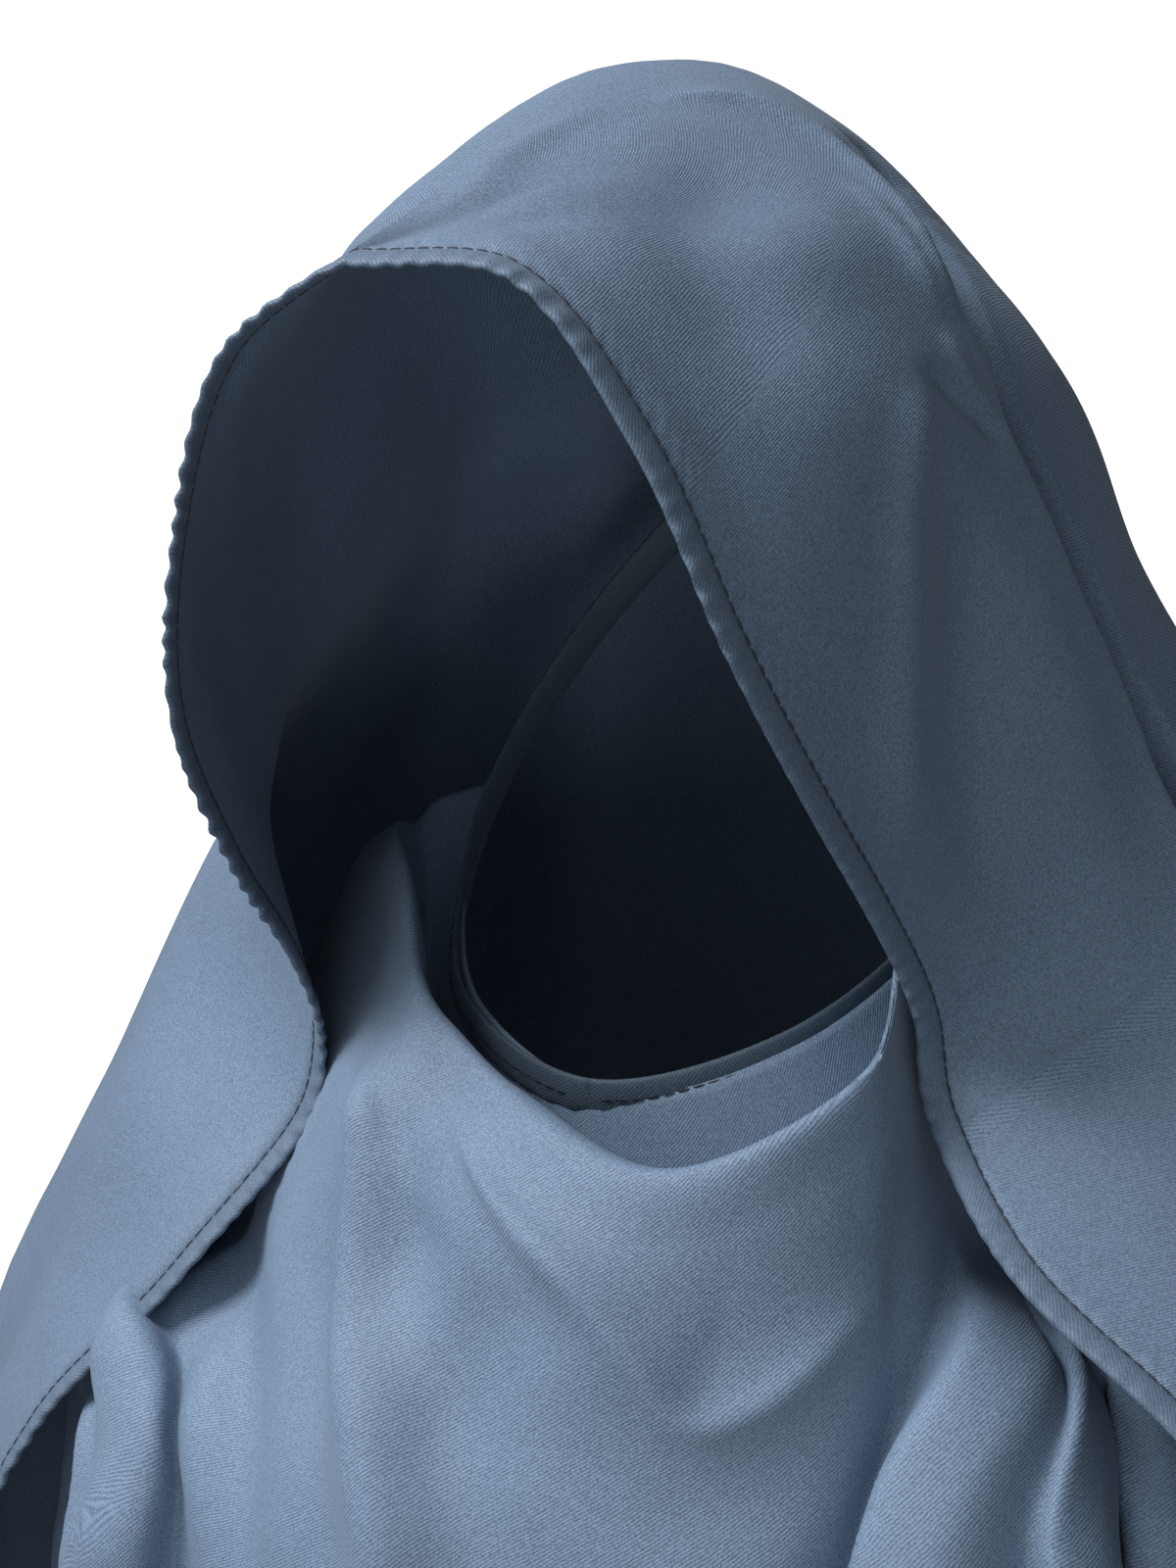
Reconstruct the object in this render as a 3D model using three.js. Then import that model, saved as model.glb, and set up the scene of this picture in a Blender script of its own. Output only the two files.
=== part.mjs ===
// A two-layer khimar veil, worn over a head: an outer cape over crown and
// shoulders, and an inner front panel that falls from a chin band.
// Millimetres; +Z up, the face opening looks toward -Y, +X is the wearer's left.
// The origin is where the inside of the cape rests on top of the crown.
import * as THREE from "three";

// Driving sizes. Table columns are shares of these.
const SPREAD = 200; // half the width over the shoulders
const DEPTH = 200; // reach forward or back of the crown
const LENGTH = 800; // crown to the front lower edge

// Cloth and sewing.
const CAPE_CLOTH = 1.4;
const PANEL_CLOTH = 1.4;
const HEM_WIDTH = 6.6;
const HEM_THICK = 2.4;
const BAND_WIDTH = 7;
const BAND_THICK = 2.6;
const BOTTOM_HEM_WIDTH = 14;
const BOTTOM_HEM_THICK = 2.4;
const SEAM_GAP = 0.3; // air left between pieces that are sewn together

const CLOTH_COLOUR = 0x6a7d96;
const CLOTH_ROUGHNESS = 0.7;

// Grid of each sheet.
const CAPE_COLUMNS = [
  { upTo: 0.32, count: 12 },
  { upTo: 0.48, count: 13 },
  { upTo: 0.55, count: 3 },
  { upTo: 0.7, count: 9 },
  { upTo: 1.0, count: 12 },
];
const CAPE_ROWS = [
  { upTo: 0.1, count: 6 },
  { upTo: 0.46, count: 15 },
  { upTo: 1.0, count: 9 },
];
const PANEL_COLUMNS = [
  { upTo: 0.42, count: 16 },
  { upTo: 0.6, count: 5 },
  { upTo: 0.82, count: 14 },
  { upTo: 1.0, count: 5 },
];
const PANEL_ROWS = [
  { upTo: 0.24, count: 12 },
  { upTo: 0.45, count: 5 },
  { upTo: 1.0, count: 7 },
];
const BAND_STATIONS = 48;

// The cape from its peak over the forehead (share 0) to the lower edge (share 1).
// Each row is one C-shaped section: the stitched front edge, the widest side,
// the middle of the back. out is a share of SPREAD, back of DEPTH, down of LENGTH.
const CAPE_SECTIONS = [
  { at: 0.0, edge: [0.0, -0.615, 0.042], side: [0.0, -0.615, 0.042], rear: [-0.615, 0.042] },
  { at: 0.045, edge: [0.19, -0.64, 0.058], side: [0.16, -0.49, 0.042], rear: [-0.44, 0.021] },
  { at: 0.1, edge: [0.31, -0.65, 0.106], side: [0.33, -0.38, 0.06], rear: [-0.22, 0.002] },
  { at: 0.155, edge: [0.375, -0.63, 0.16], side: [0.45, -0.23, 0.086], rear: [0.0, -0.006] },
  { at: 0.21, edge: [0.405, -0.53, 0.212], side: [0.505, -0.09, 0.124], rear: [0.21, 0.005] },
  { at: 0.255, edge: [0.42, -0.42, 0.252], side: [0.55, 0.0, 0.164], rear: [0.37, 0.031] },
  { at: 0.3, edge: [0.45, -0.33, 0.292], side: [0.62, 0.05, 0.208], rear: [0.49, 0.067] },
  { at: 0.335, edge: [0.48, -0.352, 0.322], side: [0.715, 0.07, 0.246], rear: [0.58, 0.102] },
  { at: 0.385, edge: [0.61, -0.5, 0.357], side: [0.86, 0.08, 0.3], rear: [0.66, 0.157] },
  { at: 0.455, edge: [0.82, -0.6, 0.4], side: [1.05, 0.085, 0.37], rear: [0.74, 0.235] },
  { at: 0.55, edge: [0.95, -0.66, 0.47], side: [1.21, 0.085, 0.465], rear: [0.83, 0.34] },
  { at: 0.7, edge: [1.04, -0.72, 0.605], side: [1.32, 0.08, 0.61], rear: [0.95, 0.51] },
  { at: 0.85, edge: [1.1, -0.79, 0.785], side: [1.38, 0.07, 0.8], rear: [1.04, 0.73] },
  { at: 1.0, edge: [1.14, -0.85, 0.97], side: [1.42, 0.06, 1.0], rear: [1.12, 1.03] },
];

// How full the cape is between side and rear: 0.71 would be an ellipse.
const ROUNDNESS = 0.71;

// How far the cape has swung out and back halfway from its front edge to its side.
const TEMPLE_OUT = 0.82;
const TEMPLE_BACK = 0.46;

// How the worn cape leans away from a mirror image: shift is the sideways move of
// its middle and swell the extra width of its -X side (shares of SPREAD); drop is
// how much lower the -X side hangs than the +X side (share of LENGTH).
const CAPE_LEAN = [
  { at: 0.0, shift: -0.125, swell: 0.0, drop: 0.0 },
  { at: 0.045, shift: -0.09, swell: 0.0, drop: 0.022 },
  { at: 0.1, shift: -0.06, swell: 0.0, drop: 0.03 },
  { at: 0.155, shift: -0.04, swell: 0.0, drop: 0.03 },
  { at: 0.255, shift: -0.01, swell: 0.05, drop: 0.034 },
  { at: 0.335, shift: -0.02, swell: 0.12, drop: 0.034 },
  { at: 0.455, shift: 0.03, swell: 0.1, drop: 0.06 },
  { at: 0.7, shift: 0.0, swell: 0.03, drop: 0.03 },
  { at: 1.0, shift: 0.0, swell: 0.0, drop: 0.0 },
];

// Folds of the cape. at and wide run across (0 is the +X edge, 1 the -X edge) and
// drift is how far across the fold has moved once it is full; it starts at share
// from, is full at full and gone by end; deep is in mm, out positive; tip pushes
// the crest sideways in mm so that it hangs over its valley.
const CAPE_FOLDS = [
  { at: 0.39, drift: 0.04, wide: 0.026, deep: 10, tip: 8, from: 0.1, full: 0.3, end: 5 },
  { at: 0.43, drift: 0.04, wide: 0.021, deep: -24, tip: 0, from: 0.12, full: 0.32, end: 5 },
  { at: 0.6, drift: -0.02, wide: 0.03, deep: -20, tip: 0, from: 0.14, full: 0.4, end: 5 },
  { at: 0.65, drift: -0.02, wide: 0.032, deep: 11, tip: -7, from: 0.14, full: 0.4, end: 5 },
  { at: 0.3, drift: 0.01, wide: 0.035, deep: 8, tip: 0, from: 0.2, full: 0.6, end: 5 },
  { at: 0.24, drift: 0.0, wide: 0.03, deep: -9, tip: 0, from: 0.32, full: 0.7, end: 5 },
  { at: 0.17, drift: 0.0, wide: 0.035, deep: 8, tip: 0, from: 0.34, full: 0.65, end: 5 },
  { at: 0.1, drift: 0.0, wide: 0.03, deep: -10, tip: 0, from: 0.36, full: 0.62, end: 5 },
  { at: 0.75, drift: 0.0, wide: 0.035, deep: -9, tip: 0, from: 0.34, full: 0.7, end: 5 },
  { at: 0.83, drift: 0.0, wide: 0.035, deep: 9, tip: 0, from: 0.34, full: 0.62, end: 5 },
  { at: 0.9, drift: 0.0, wide: 0.03, deep: -10, tip: 0, from: 0.36, full: 0.6, end: 5 },
  { at: 0.52, drift: 0.0, wide: 0.035, deep: 13, tip: 0, from: 0.3, full: 0.75, end: 5 },
];

// The front panel from the chin band (0) to its lower edge (1), by columns:
// front middle, quarter, side and far edge; numbers as in the cape's table.
const PANEL_SECTIONS = [
  { at: 0.0, front: [-0.41, 0.314], quarter: [0.23, -0.32, 0.299], side: [0.35, -0.12, 0.278], far: [0.39, 0.06, 0.25] },
  { at: 0.04, front: [-0.48, 0.333], quarter: [0.27, -0.39, 0.316], side: [0.385, -0.17, 0.29], far: [0.46, 0.03, 0.255] },
  { at: 0.08, front: [-0.56, 0.324], quarter: [0.265, -0.44, 0.3], side: [0.365, -0.22, 0.266], far: [0.51, -0.02, 0.235] },
  { at: 0.11, front: [-0.605, 0.308], quarter: [0.28, -0.455, 0.284], side: [0.36, -0.25, 0.25], far: [0.54, -0.05, 0.22] },
  { at: 0.15, front: [-0.65, 0.328], quarter: [0.3, -0.485, 0.308], side: [0.37, -0.24, 0.283], far: [0.57, -0.04, 0.25] },
  { at: 0.22, front: [-0.72, 0.375], quarter: [0.36, -0.53, 0.368], side: [0.47, -0.27, 0.355], far: [0.66, 0.0, 0.335] },
  { at: 0.33, front: [-0.81, 0.438], quarter: [0.54, -0.64, 0.437], side: [0.76, -0.3, 0.43], far: [0.84, 0.03, 0.418] },
  { at: 0.55, front: [-0.89, 0.575], quarter: [0.63, -0.74, 0.575], side: [0.9, -0.33, 0.57], far: [0.97, 0.03, 0.562] },
  { at: 1.0, front: [-0.98, 0.9], quarter: [0.7, -0.84, 0.903], side: [1.02, -0.38, 0.908], far: [1.08, 0.02, 0.915] },
];

// The lean of the panel: the cowl's lowest point sits to the +X side.
const PANEL_LEAN = [
  { at: 0.0, shift: 0.03 },
  { at: 0.11, shift: 0.17 },
  { at: 0.22, shift: 0.1 },
  { at: 0.4, shift: 0.02 },
  { at: 1.0, shift: 0.0 },
];

// Folds of the panel; 0 is its +X edge and 1 its -X edge.
const PANEL_FOLDS = [
  { at: 0.27, drift: 0.1, wide: 0.03, deep: 12, tip: 6, from: 0.14, full: 0.36, end: 5 },
  { at: 0.205, drift: 0.09, wide: 0.028, deep: -13, tip: 0, from: 0.15, full: 0.36, end: 5 },
  { at: 0.15, drift: 0.09, wide: 0.025, deep: 8, tip: 0, from: 0.18, full: 0.38, end: 5 },
  { at: 0.1, drift: 0.09, wide: 0.022, deep: -9, tip: 0, from: 0.2, full: 0.4, end: 5 },
  { at: 0.79, drift: -0.14, wide: 0.018, deep: 7, tip: 0, from: 0.17, full: 0.38, end: 5 },
  { at: 0.825, drift: -0.14, wide: 0.018, deep: -8, tip: 0, from: 0.17, full: 0.38, end: 5 },
  { at: 0.86, drift: -0.13, wide: 0.018, deep: 8, tip: 0, from: 0.17, full: 0.38, end: 5 },
  { at: 0.895, drift: -0.12, wide: 0.018, deep: -8, tip: 0, from: 0.18, full: 0.4, end: 5 },
  { at: 0.93, drift: -0.11, wide: 0.018, deep: 6, tip: 0, from: 0.2, full: 0.42, end: 5 },
  { at: 0.72, drift: -0.14, wide: 0.025, deep: -5, tip: 0, from: 0.1, full: 0.18, end: 0.34 },
  { at: 0.5, drift: 0.0, wide: 0.06, deep: -7, tip: 0, from: 0.3, full: 0.7, end: 5 },
];

// The ring of the chin band, from the chin round the +X side to behind the crown,
// as [out, back, down] shares; the -X side mirrors it.
const BAND_PATH = [
  [0.0, -0.41, 0.304],
  [0.225, -0.325, 0.29],
  [0.34, -0.13, 0.268],
  [0.38, 0.06, 0.238],
  [0.31, 0.24, 0.19],
  [0.14, 0.37, 0.137],
  [0.0, 0.463, 0.1],
];

// Smooth curve through the rows of a table, read at one share.
function read(rows, pick, t) {
  const n = rows.length;
  let k = 0;
  while (k < n - 2 && t > rows[k + 1].at) {
    k += 1;
  }
  const t0 = rows[k].at;
  const span = rows[k + 1].at - t0;
  const s = Math.min(1, Math.max(0, (t - t0) / span));
  const slope = (i) => {
    const a = Math.max(0, i - 1);
    const b = Math.min(n - 1, i + 1);
    const width = rows[b].at - rows[a].at;
    return pick(rows[b]).map((v, c) => (v - pick(rows[a])[c]) / width);
  };
  const m0 = slope(k);
  const m1 = slope(k + 1);
  const p0 = pick(rows[k]);
  const p1 = pick(rows[k + 1]);
  const h00 = (1 + 2 * s) * (1 - s) * (1 - s);
  const h10 = s * (1 - s) * (1 - s) * span;
  const h01 = s * s * (3 - 2 * s);
  const h11 = s * s * (s - 1) * span;
  return p0.map((v, c) => h00 * v + h10 * m0[c] + h01 * p1[c] + h11 * m1[c]);
}

function smooth(x) {
  const s = Math.min(1, Math.max(0, x));
  return s * s * (3 - 2 * s);
}

// A point from shares [out, back, down] of the driving sizes.
function place(out, back, down) {
  return new THREE.Vector3(out * SPREAD, back * DEPTH, -down * LENGTH);
}

// Bare surface of the cape, before folds.
function capeBase(u, v) {
  const [shift, swell, drop] = read(CAPE_LEAN, (r) => [r.shift, r.swell, r.drop], v);
  const edge = read(CAPE_SECTIONS, (r) => r.edge, v);
  const side = read(CAPE_SECTIONS, (r) => r.side, v);
  const rear = read(CAPE_SECTIONS, (r) => r.rear, v);
  // The four points of one half, from its front edge round to behind the shoulder.
  const halfRing = (way) => {
    const wide = way > 0 ? side[0] : side[0] + swell;
    const low = (-way * drop) / 2;
    return [
      [way * edge[0], edge[1], edge[2] + low],
      [
        way * (edge[0] + (wide - edge[0]) * TEMPLE_OUT),
        edge[1] + (side[1] - edge[1]) * TEMPLE_BACK,
        (edge[2] + side[2]) / 2 + low,
      ],
      [way * wide, side[1], side[2] + low],
      [
        way * wide * ROUNDNESS,
        side[1] + (rear[0] - side[1]) * ROUNDNESS,
        (side[2] + low + rear[1]) / 2,
      ],
    ];
  };
  const middle = [0, rear[0], rear[1]];
  const points = [...halfRing(1), middle, ...halfRing(-1).reverse()];
  const ring = points.map((p, k) => ({ at: k / 8, p }));
  const p = read(ring, (r) => r.p, u);
  return place(p[0] + shift, p[1], p[2]);
}

// Bare surface of the front panel, before folds.
function panelBase(u, v) {
  const lean = read(PANEL_LEAN, (r) => [r.shift], v)[0];
  const front = read(PANEL_SECTIONS, (r) => r.front, v);
  const quarter = read(PANEL_SECTIONS, (r) => r.quarter, v);
  const side = read(PANEL_SECTIONS, (r) => r.side, v);
  const far = read(PANEL_SECTIONS, (r) => r.far, v);
  const ring = [
    { at: 0.0, p: far },
    { at: 0.16, p: side },
    { at: 0.32, p: quarter },
    { at: 0.5, p: [0, front[0], front[1]] },
    { at: 0.68, p: [-quarter[0], quarter[1], quarter[2]] },
    { at: 0.84, p: [-side[0], side[1], side[2]] },
    { at: 1.0, p: [-far[0], far[1], far[2]] },
  ];
  const p = read(ring, (r) => r.p, u);
  const middle = 1 - smooth(Math.abs(u - 0.5) / 0.45);
  return place(p[0] + lean * middle, p[1], p[2]);
}

// A surface pushed out, in and sideways by its folds.
function folded(base, folds, u, v) {
  const step = 0.004;
  const p = base(u, v);
  const across = base(Math.min(1, u + step), v).sub(base(Math.max(0, u - step), v));
  const down = base(u, Math.min(1, v + step)).sub(base(u, Math.max(0, v - step)));
  across.normalize();
  const out = new THREE.Vector3().crossVectors(down, across).normalize();
  for (const f of folds) {
    const grown = smooth((v - f.from) / (f.full - f.from));
    const left = 1 - smooth((v - f.full) / (f.end - f.full));
    const x = (u - f.at - f.drift * grown) / f.wide;
    const hump = Math.exp(-x * x) * grown * left;
    p.addScaledVector(out, hump * f.deep);
    p.addScaledVector(across, hump * f.tip);
  }
  return p;
}

// Shares along a sheet, closer together where it bends more.
function stations(spans) {
  const shares = [0];
  for (const { upTo, count } of spans) {
    const start = shares[shares.length - 1];
    for (let k = 1; k <= count; k += 1) {
      shares.push(start + ((upTo - start) * k) / count);
    }
  }
  return shares;
}

// Rows of points of a sheet, one row per station down.
function grid(surface, across, down) {
  const rows = [];
  for (const v of down) {
    rows.push(across.map((u) => surface(u, v)));
  }
  return rows;
}

// Outward normal at each grid point, from its neighbours.
function gridNormals(rows) {
  const last = rows.length - 1;
  const normals = rows.map((row, j) =>
    row.map((p, i) => {
      const right = row[Math.min(row.length - 1, i + 1)];
      const left = row[Math.max(0, i - 1)];
      const above = rows[Math.max(0, j - 1)][i];
      const below = rows[Math.min(last, j + 1)][i];
      const across = right.clone().sub(left);
      const down = below.clone().sub(above);
      return new THREE.Vector3().crossVectors(down, across).normalize();
    })
  );
  // Where the first row is one point it gets one normal.
  if (rows[0][0].distanceTo(rows[0][1]) < 1e-6) {
    const mean = normals[1].reduce((a, b) => a.clone().add(b), new THREE.Vector3());
    mean.normalize();
    normals[0] = normals[0].map(() => mean);
  }
  return normals;
}

// Closed solid from an outer and an inner grid of the same shape.
// ring joins the last column back to the first.
function solid(outer, inner, ring = false) {
  const positions = [];
  const index = [];
  const across = outer[0].length;
  const down = outer.length;
  const id = (layer, j, i) => (layer * down + j) * across + (ring ? i % across : i);
  for (const layer of [outer, inner]) {
    for (const row of layer) {
      for (const p of row) {
        positions.push(p.x, p.y, p.z);
      }
    }
  }
  const at = (k) => new THREE.Vector3().fromArray(positions, k * 3);
  // Each four-sided cell is split along its shorter diagonal.
  const quad = (a, b, c, d) => {
    if (at(a).distanceTo(at(c)) <= at(b).distanceTo(at(d))) {
      index.push(a, b, c, a, c, d);
    } else {
      index.push(b, c, d, b, d, a);
    }
  };
  const cols = ring ? across : across - 1;
  for (let j = 0; j < down - 1; j += 1) {
    for (let i = 0; i < cols; i += 1) {
      quad(id(0, j, i), id(0, j + 1, i), id(0, j + 1, i + 1), id(0, j, i + 1));
      quad(id(1, j, i), id(1, j, i + 1), id(1, j + 1, i + 1), id(1, j + 1, i));
    }
  }
  for (let i = 0; i < cols; i += 1) {
    quad(id(0, 0, i), id(0, 0, i + 1), id(1, 0, i + 1), id(1, 0, i));
    const j = down - 1;
    quad(id(0, j, i), id(1, j, i), id(1, j, i + 1), id(0, j, i + 1));
  }
  if (!ring) {
    for (let j = 0; j < down - 1; j += 1) {
      quad(id(0, j, 0), id(1, j, 0), id(1, j + 1, 0), id(0, j + 1, 0));
      const i = across - 1;
      quad(id(0, j, i), id(0, j + 1, i), id(1, j + 1, i), id(1, j, i));
    }
  }
  // Drop triangles that have shrunk to nothing.
  const kept = [];
  for (let k = 0; k < index.length; k += 3) {
    const [a, b, c] = [at(index[k]), at(index[k + 1]), at(index[k + 2])];
    const area = b.clone().sub(a).cross(c.clone().sub(a)).length() / 2;
    if (area > 1e-6) {
      kept.push(index[k], index[k + 1], index[k + 2]);
    }
  }
  // Wind every face so that the solid's volume comes out positive.
  let volume = 0;
  for (let k = 0; k < kept.length; k += 3) {
    volume += at(kept[k]).dot(at(kept[k + 1]).cross(at(kept[k + 2])));
  }
  if (volume < 0) {
    kept.reverse();
  }
  const geometry = new THREE.BufferGeometry();
  geometry.setAttribute("position", new THREE.Float32BufferAttribute(positions, 3));
  geometry.setIndex(kept);
  geometry.computeVertexNormals();
  return geometry;
}

function offsetRows(rows, normals, distance) {
  return rows.map((row, j) =>
    row.map((p, i) => p.clone().addScaledVector(normals[j][i], distance))
  );
}

// Flat strip sewn along an edge: frames are {p, away, out}, away points off the
// sheet and out is the sheet's own outward normal.
function strip(frames, width, thick, ring = false) {
  const lift = (f, a, o) => f.p.clone().addScaledVector(f.away, a).addScaledVector(f.out, o);
  const near = SEAM_GAP;
  const far = SEAM_GAP + width;
  const outer = [
    frames.map((f) => lift(f, near, thick * 0.3)),
    frames.map((f) => lift(f, far, thick * 0.3)),
  ];
  const inner = [
    frames.map((f) => lift(f, near, -thick * 0.7)),
    frames.map((f) => lift(f, far, -thick * 0.7)),
  ];
  return solid(outer, inner, ring);
}

// Frames along one line of grid points, given the normals and which way is off
// the sheet (the neighbour one step inside the sheet).
function edgeFrames(points, normals, inside) {
  return points.map((p, k) => {
    const ahead = points[Math.min(points.length - 1, k + 1)];
    const behind = points[Math.max(0, k - 1)];
    const along = ahead.clone().sub(behind).normalize();
    const out = normals[k].clone();
    const away = new THREE.Vector3().crossVectors(along, out).normalize();
    if (away.dot(inside[k].clone().sub(p)) > 0) {
      away.negate();
    }
    return { p, away, out };
  });
}

const part = new THREE.Group();
part.name = "khimar_veil";

function add(name, geometry) {
  const cloth = new THREE.MeshStandardMaterial({
    color: CLOTH_COLOUR,
    roughness: CLOTH_ROUGHNESS,
    metalness: 0,
  });
  const mesh = new THREE.Mesh(geometry, cloth);
  mesh.name = name;
  part.add(mesh);
}

// Cape.
const capeSurface = (u, v) => folded(capeBase, CAPE_FOLDS, u, v);
const capeRows = grid(capeSurface, stations(CAPE_COLUMNS), stations(CAPE_ROWS));
const capeNormals = gridNormals(capeRows);
add("cape", solid(capeRows, offsetRows(capeRows, capeNormals, -CAPE_CLOTH)));

// Hem round the face opening: up the +X edge, over the peak, down the -X edge.
const last = capeRows[0].length - 1;
const rowsUp = [...capeRows.keys()].reverse();
const rowsDown = [...capeRows.keys()].slice(1);
const hemPoints = [
  ...rowsUp.map((j) => capeRows[j][0]),
  ...rowsDown.map((j) => capeRows[j][last]),
];
const hemNormals = [
  ...rowsUp.map((j) => capeNormals[j][0]),
  ...rowsDown.map((j) => capeNormals[j][last]),
];
const hemInside = [
  ...rowsUp.map((j) => capeRows[Math.max(1, j)][j === 0 ? Math.round(last / 2) : 1]),
  ...rowsDown.map((j) => capeRows[j][last - 1]),
];
add("cape_hem", strip(edgeFrames(hemPoints, hemNormals, hemInside), HEM_WIDTH, HEM_THICK));

// Turned hem along the cape's lower edge.
add(
  "cape_bottom_hem",
  strip(
    edgeFrames(capeRows.at(-1), capeNormals.at(-1), capeRows.at(-2)),
    BOTTOM_HEM_WIDTH,
    BOTTOM_HEM_THICK
  )
);

// Front panel.
const panelSurface = (u, v) => folded(panelBase, PANEL_FOLDS, u, v);
const panelRows = grid(panelSurface, stations(PANEL_COLUMNS), stations(PANEL_ROWS));
const panelNormals = gridNormals(panelRows);
add("front_panel", solid(panelRows, offsetRows(panelRows, panelNormals, -PANEL_CLOTH)));
add(
  "panel_bottom_hem",
  strip(
    edgeFrames(panelRows.at(-1), panelNormals.at(-1), panelRows.at(-2)),
    BOTTOM_HEM_WIDTH,
    BOTTOM_HEM_THICK
  )
);

// Chin band: a closed ring, chin to ears to behind the crown.
const bandNear = BAND_PATH.map((r) => place(r[0], r[1], r[2]));
const bandFar = BAND_PATH.slice(1, -1).map((r) => place(-r[0], r[1], r[2]));
const bandCurve = new THREE.CatmullRomCurve3([...bandNear, ...bandFar.reverse()], true);
const bandFrames = [];
for (let k = 0; k < BAND_STATIONS; k += 1) {
  bandFrames.push({ p: bandCurve.getPoint(k / BAND_STATIONS), away: null, out: null });
}
const bandMiddle = bandFrames
  .reduce((sum, f) => sum.add(f.p), new THREE.Vector3())
  .divideScalar(BAND_STATIONS);
bandFrames.forEach((f, k) => {
  const ahead = bandFrames[(k + 1) % BAND_STATIONS].p;
  const behind = bandFrames[(k + BAND_STATIONS - 1) % BAND_STATIONS].p;
  const along = ahead.clone().sub(behind).normalize();
  const spoke = f.p.clone().sub(bandMiddle);
  f.away = new THREE.Vector3().crossVectors(along, spoke).normalize();
  f.out = new THREE.Vector3().crossVectors(f.away, along).normalize();
  if (f.out.dot(spoke) < 0) {
    f.out.negate();
  }
});
add("chin_band", strip(bandFrames, BAND_WIDTH, BAND_THICK, true));

export default part;
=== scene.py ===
# %% [markdown]
# A khimar: a slip-on veil of two layers of blue-grey, satin-backed crepe, as it hangs when
# worn. The cape covers crown, sides and back and leaves the face open. The front panel
# hangs from a band under the chin. The packed solids give every piece its size and place.
# Here each one is made again with its folds, hems, stitches and weave, because thin cloth
# only looks like cloth where its folds are real geometry. A cloth simulation could drape
# it, but it would not lay each fold where the real veil has it, so the folds are drawn.

# %% Frame
import math

import bpy
import numpy as np
from mathutils import Matrix, Vector


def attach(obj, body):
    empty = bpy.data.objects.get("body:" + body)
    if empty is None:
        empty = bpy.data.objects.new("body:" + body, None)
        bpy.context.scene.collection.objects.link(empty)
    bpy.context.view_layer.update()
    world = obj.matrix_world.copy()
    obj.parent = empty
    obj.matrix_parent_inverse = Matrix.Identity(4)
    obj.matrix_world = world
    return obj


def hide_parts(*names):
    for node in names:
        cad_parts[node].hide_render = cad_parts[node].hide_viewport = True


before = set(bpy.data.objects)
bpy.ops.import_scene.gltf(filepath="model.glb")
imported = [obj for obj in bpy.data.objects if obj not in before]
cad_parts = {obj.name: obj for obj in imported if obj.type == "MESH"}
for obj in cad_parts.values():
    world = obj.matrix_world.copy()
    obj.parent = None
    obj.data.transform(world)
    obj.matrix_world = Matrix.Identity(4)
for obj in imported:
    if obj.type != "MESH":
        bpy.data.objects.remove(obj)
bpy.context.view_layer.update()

# %% [markdown]
# The camera. It stands in front of the wearer's left side, a little above the face and
# rolled by a few degrees, and has a fairly long lens. A camera could be moved by hand
# until the view fits. Here two angles, a distance and the place of the crown in the
# picture set it, because each of these can be judged and changed by itself.

# %% Camera
IMAGE_SIZE = (1200, 1600)
AZIMUTH = math.radians(28)  # toward the wearer's left
ELEVATION = math.radians(15)
ROLL = math.radians(3.5)
DISTANCE = 0.65  # metres from the crown
FOCAL_PX = 2600  # focal length in pixels of the picture
CROWN_PX = (695, 78)  # where the crown falls in the picture
SENSOR_MM = 36
NEAREST = 0.01  # metres, closer than any cloth comes
toward = Vector(
    (
        math.sin(AZIMUTH) * math.cos(ELEVATION),
        -math.cos(AZIMUTH) * math.cos(ELEVATION),
        math.sin(ELEVATION),
    )
)
level = Vector((math.cos(AZIMUTH), math.sin(AZIMUTH), 0))
raised = toward.cross(level)
right = level * math.cos(ROLL) - raised * math.sin(ROLL)
up = level * math.sin(ROLL) + raised * math.cos(ROLL)
offset_x = (CROWN_PX[0] - IMAGE_SIZE[0] / 2) / FOCAL_PX * DISTANCE
offset_y = (IMAGE_SIZE[1] / 2 - CROWN_PX[1]) / FOCAL_PX * DISTANCE
place = toward * DISTANCE - right * offset_x - up * offset_y

camera_data = bpy.data.cameras.new("camera")
camera_data.sensor_width = SENSOR_MM
camera_data.lens = FOCAL_PX / max(IMAGE_SIZE) * SENSOR_MM
camera_data.clip_start = NEAREST
camera = bpy.data.objects.new("camera", camera_data)
bpy.context.scene.collection.objects.link(camera)
camera.matrix_world = Matrix.Translation(place) @ Matrix((right, up, toward)).transposed().to_4x4()
bpy.context.scene.camera = camera
print("camera at", [round(c, 3) for c in place], "lens", round(camera_data.lens, 1))

# %% [markdown]
# Shader maths. A material here is a sum of patterns. They could be wired node by node in
# the shader editor, but a formula is shorter to read and to change. So a small class wraps
# one socket and turns arithmetic into Math nodes. Any other node comes from node(), which
# takes its type, then its settings, then the values or links of its inputs.

# %% Shader helper


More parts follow.
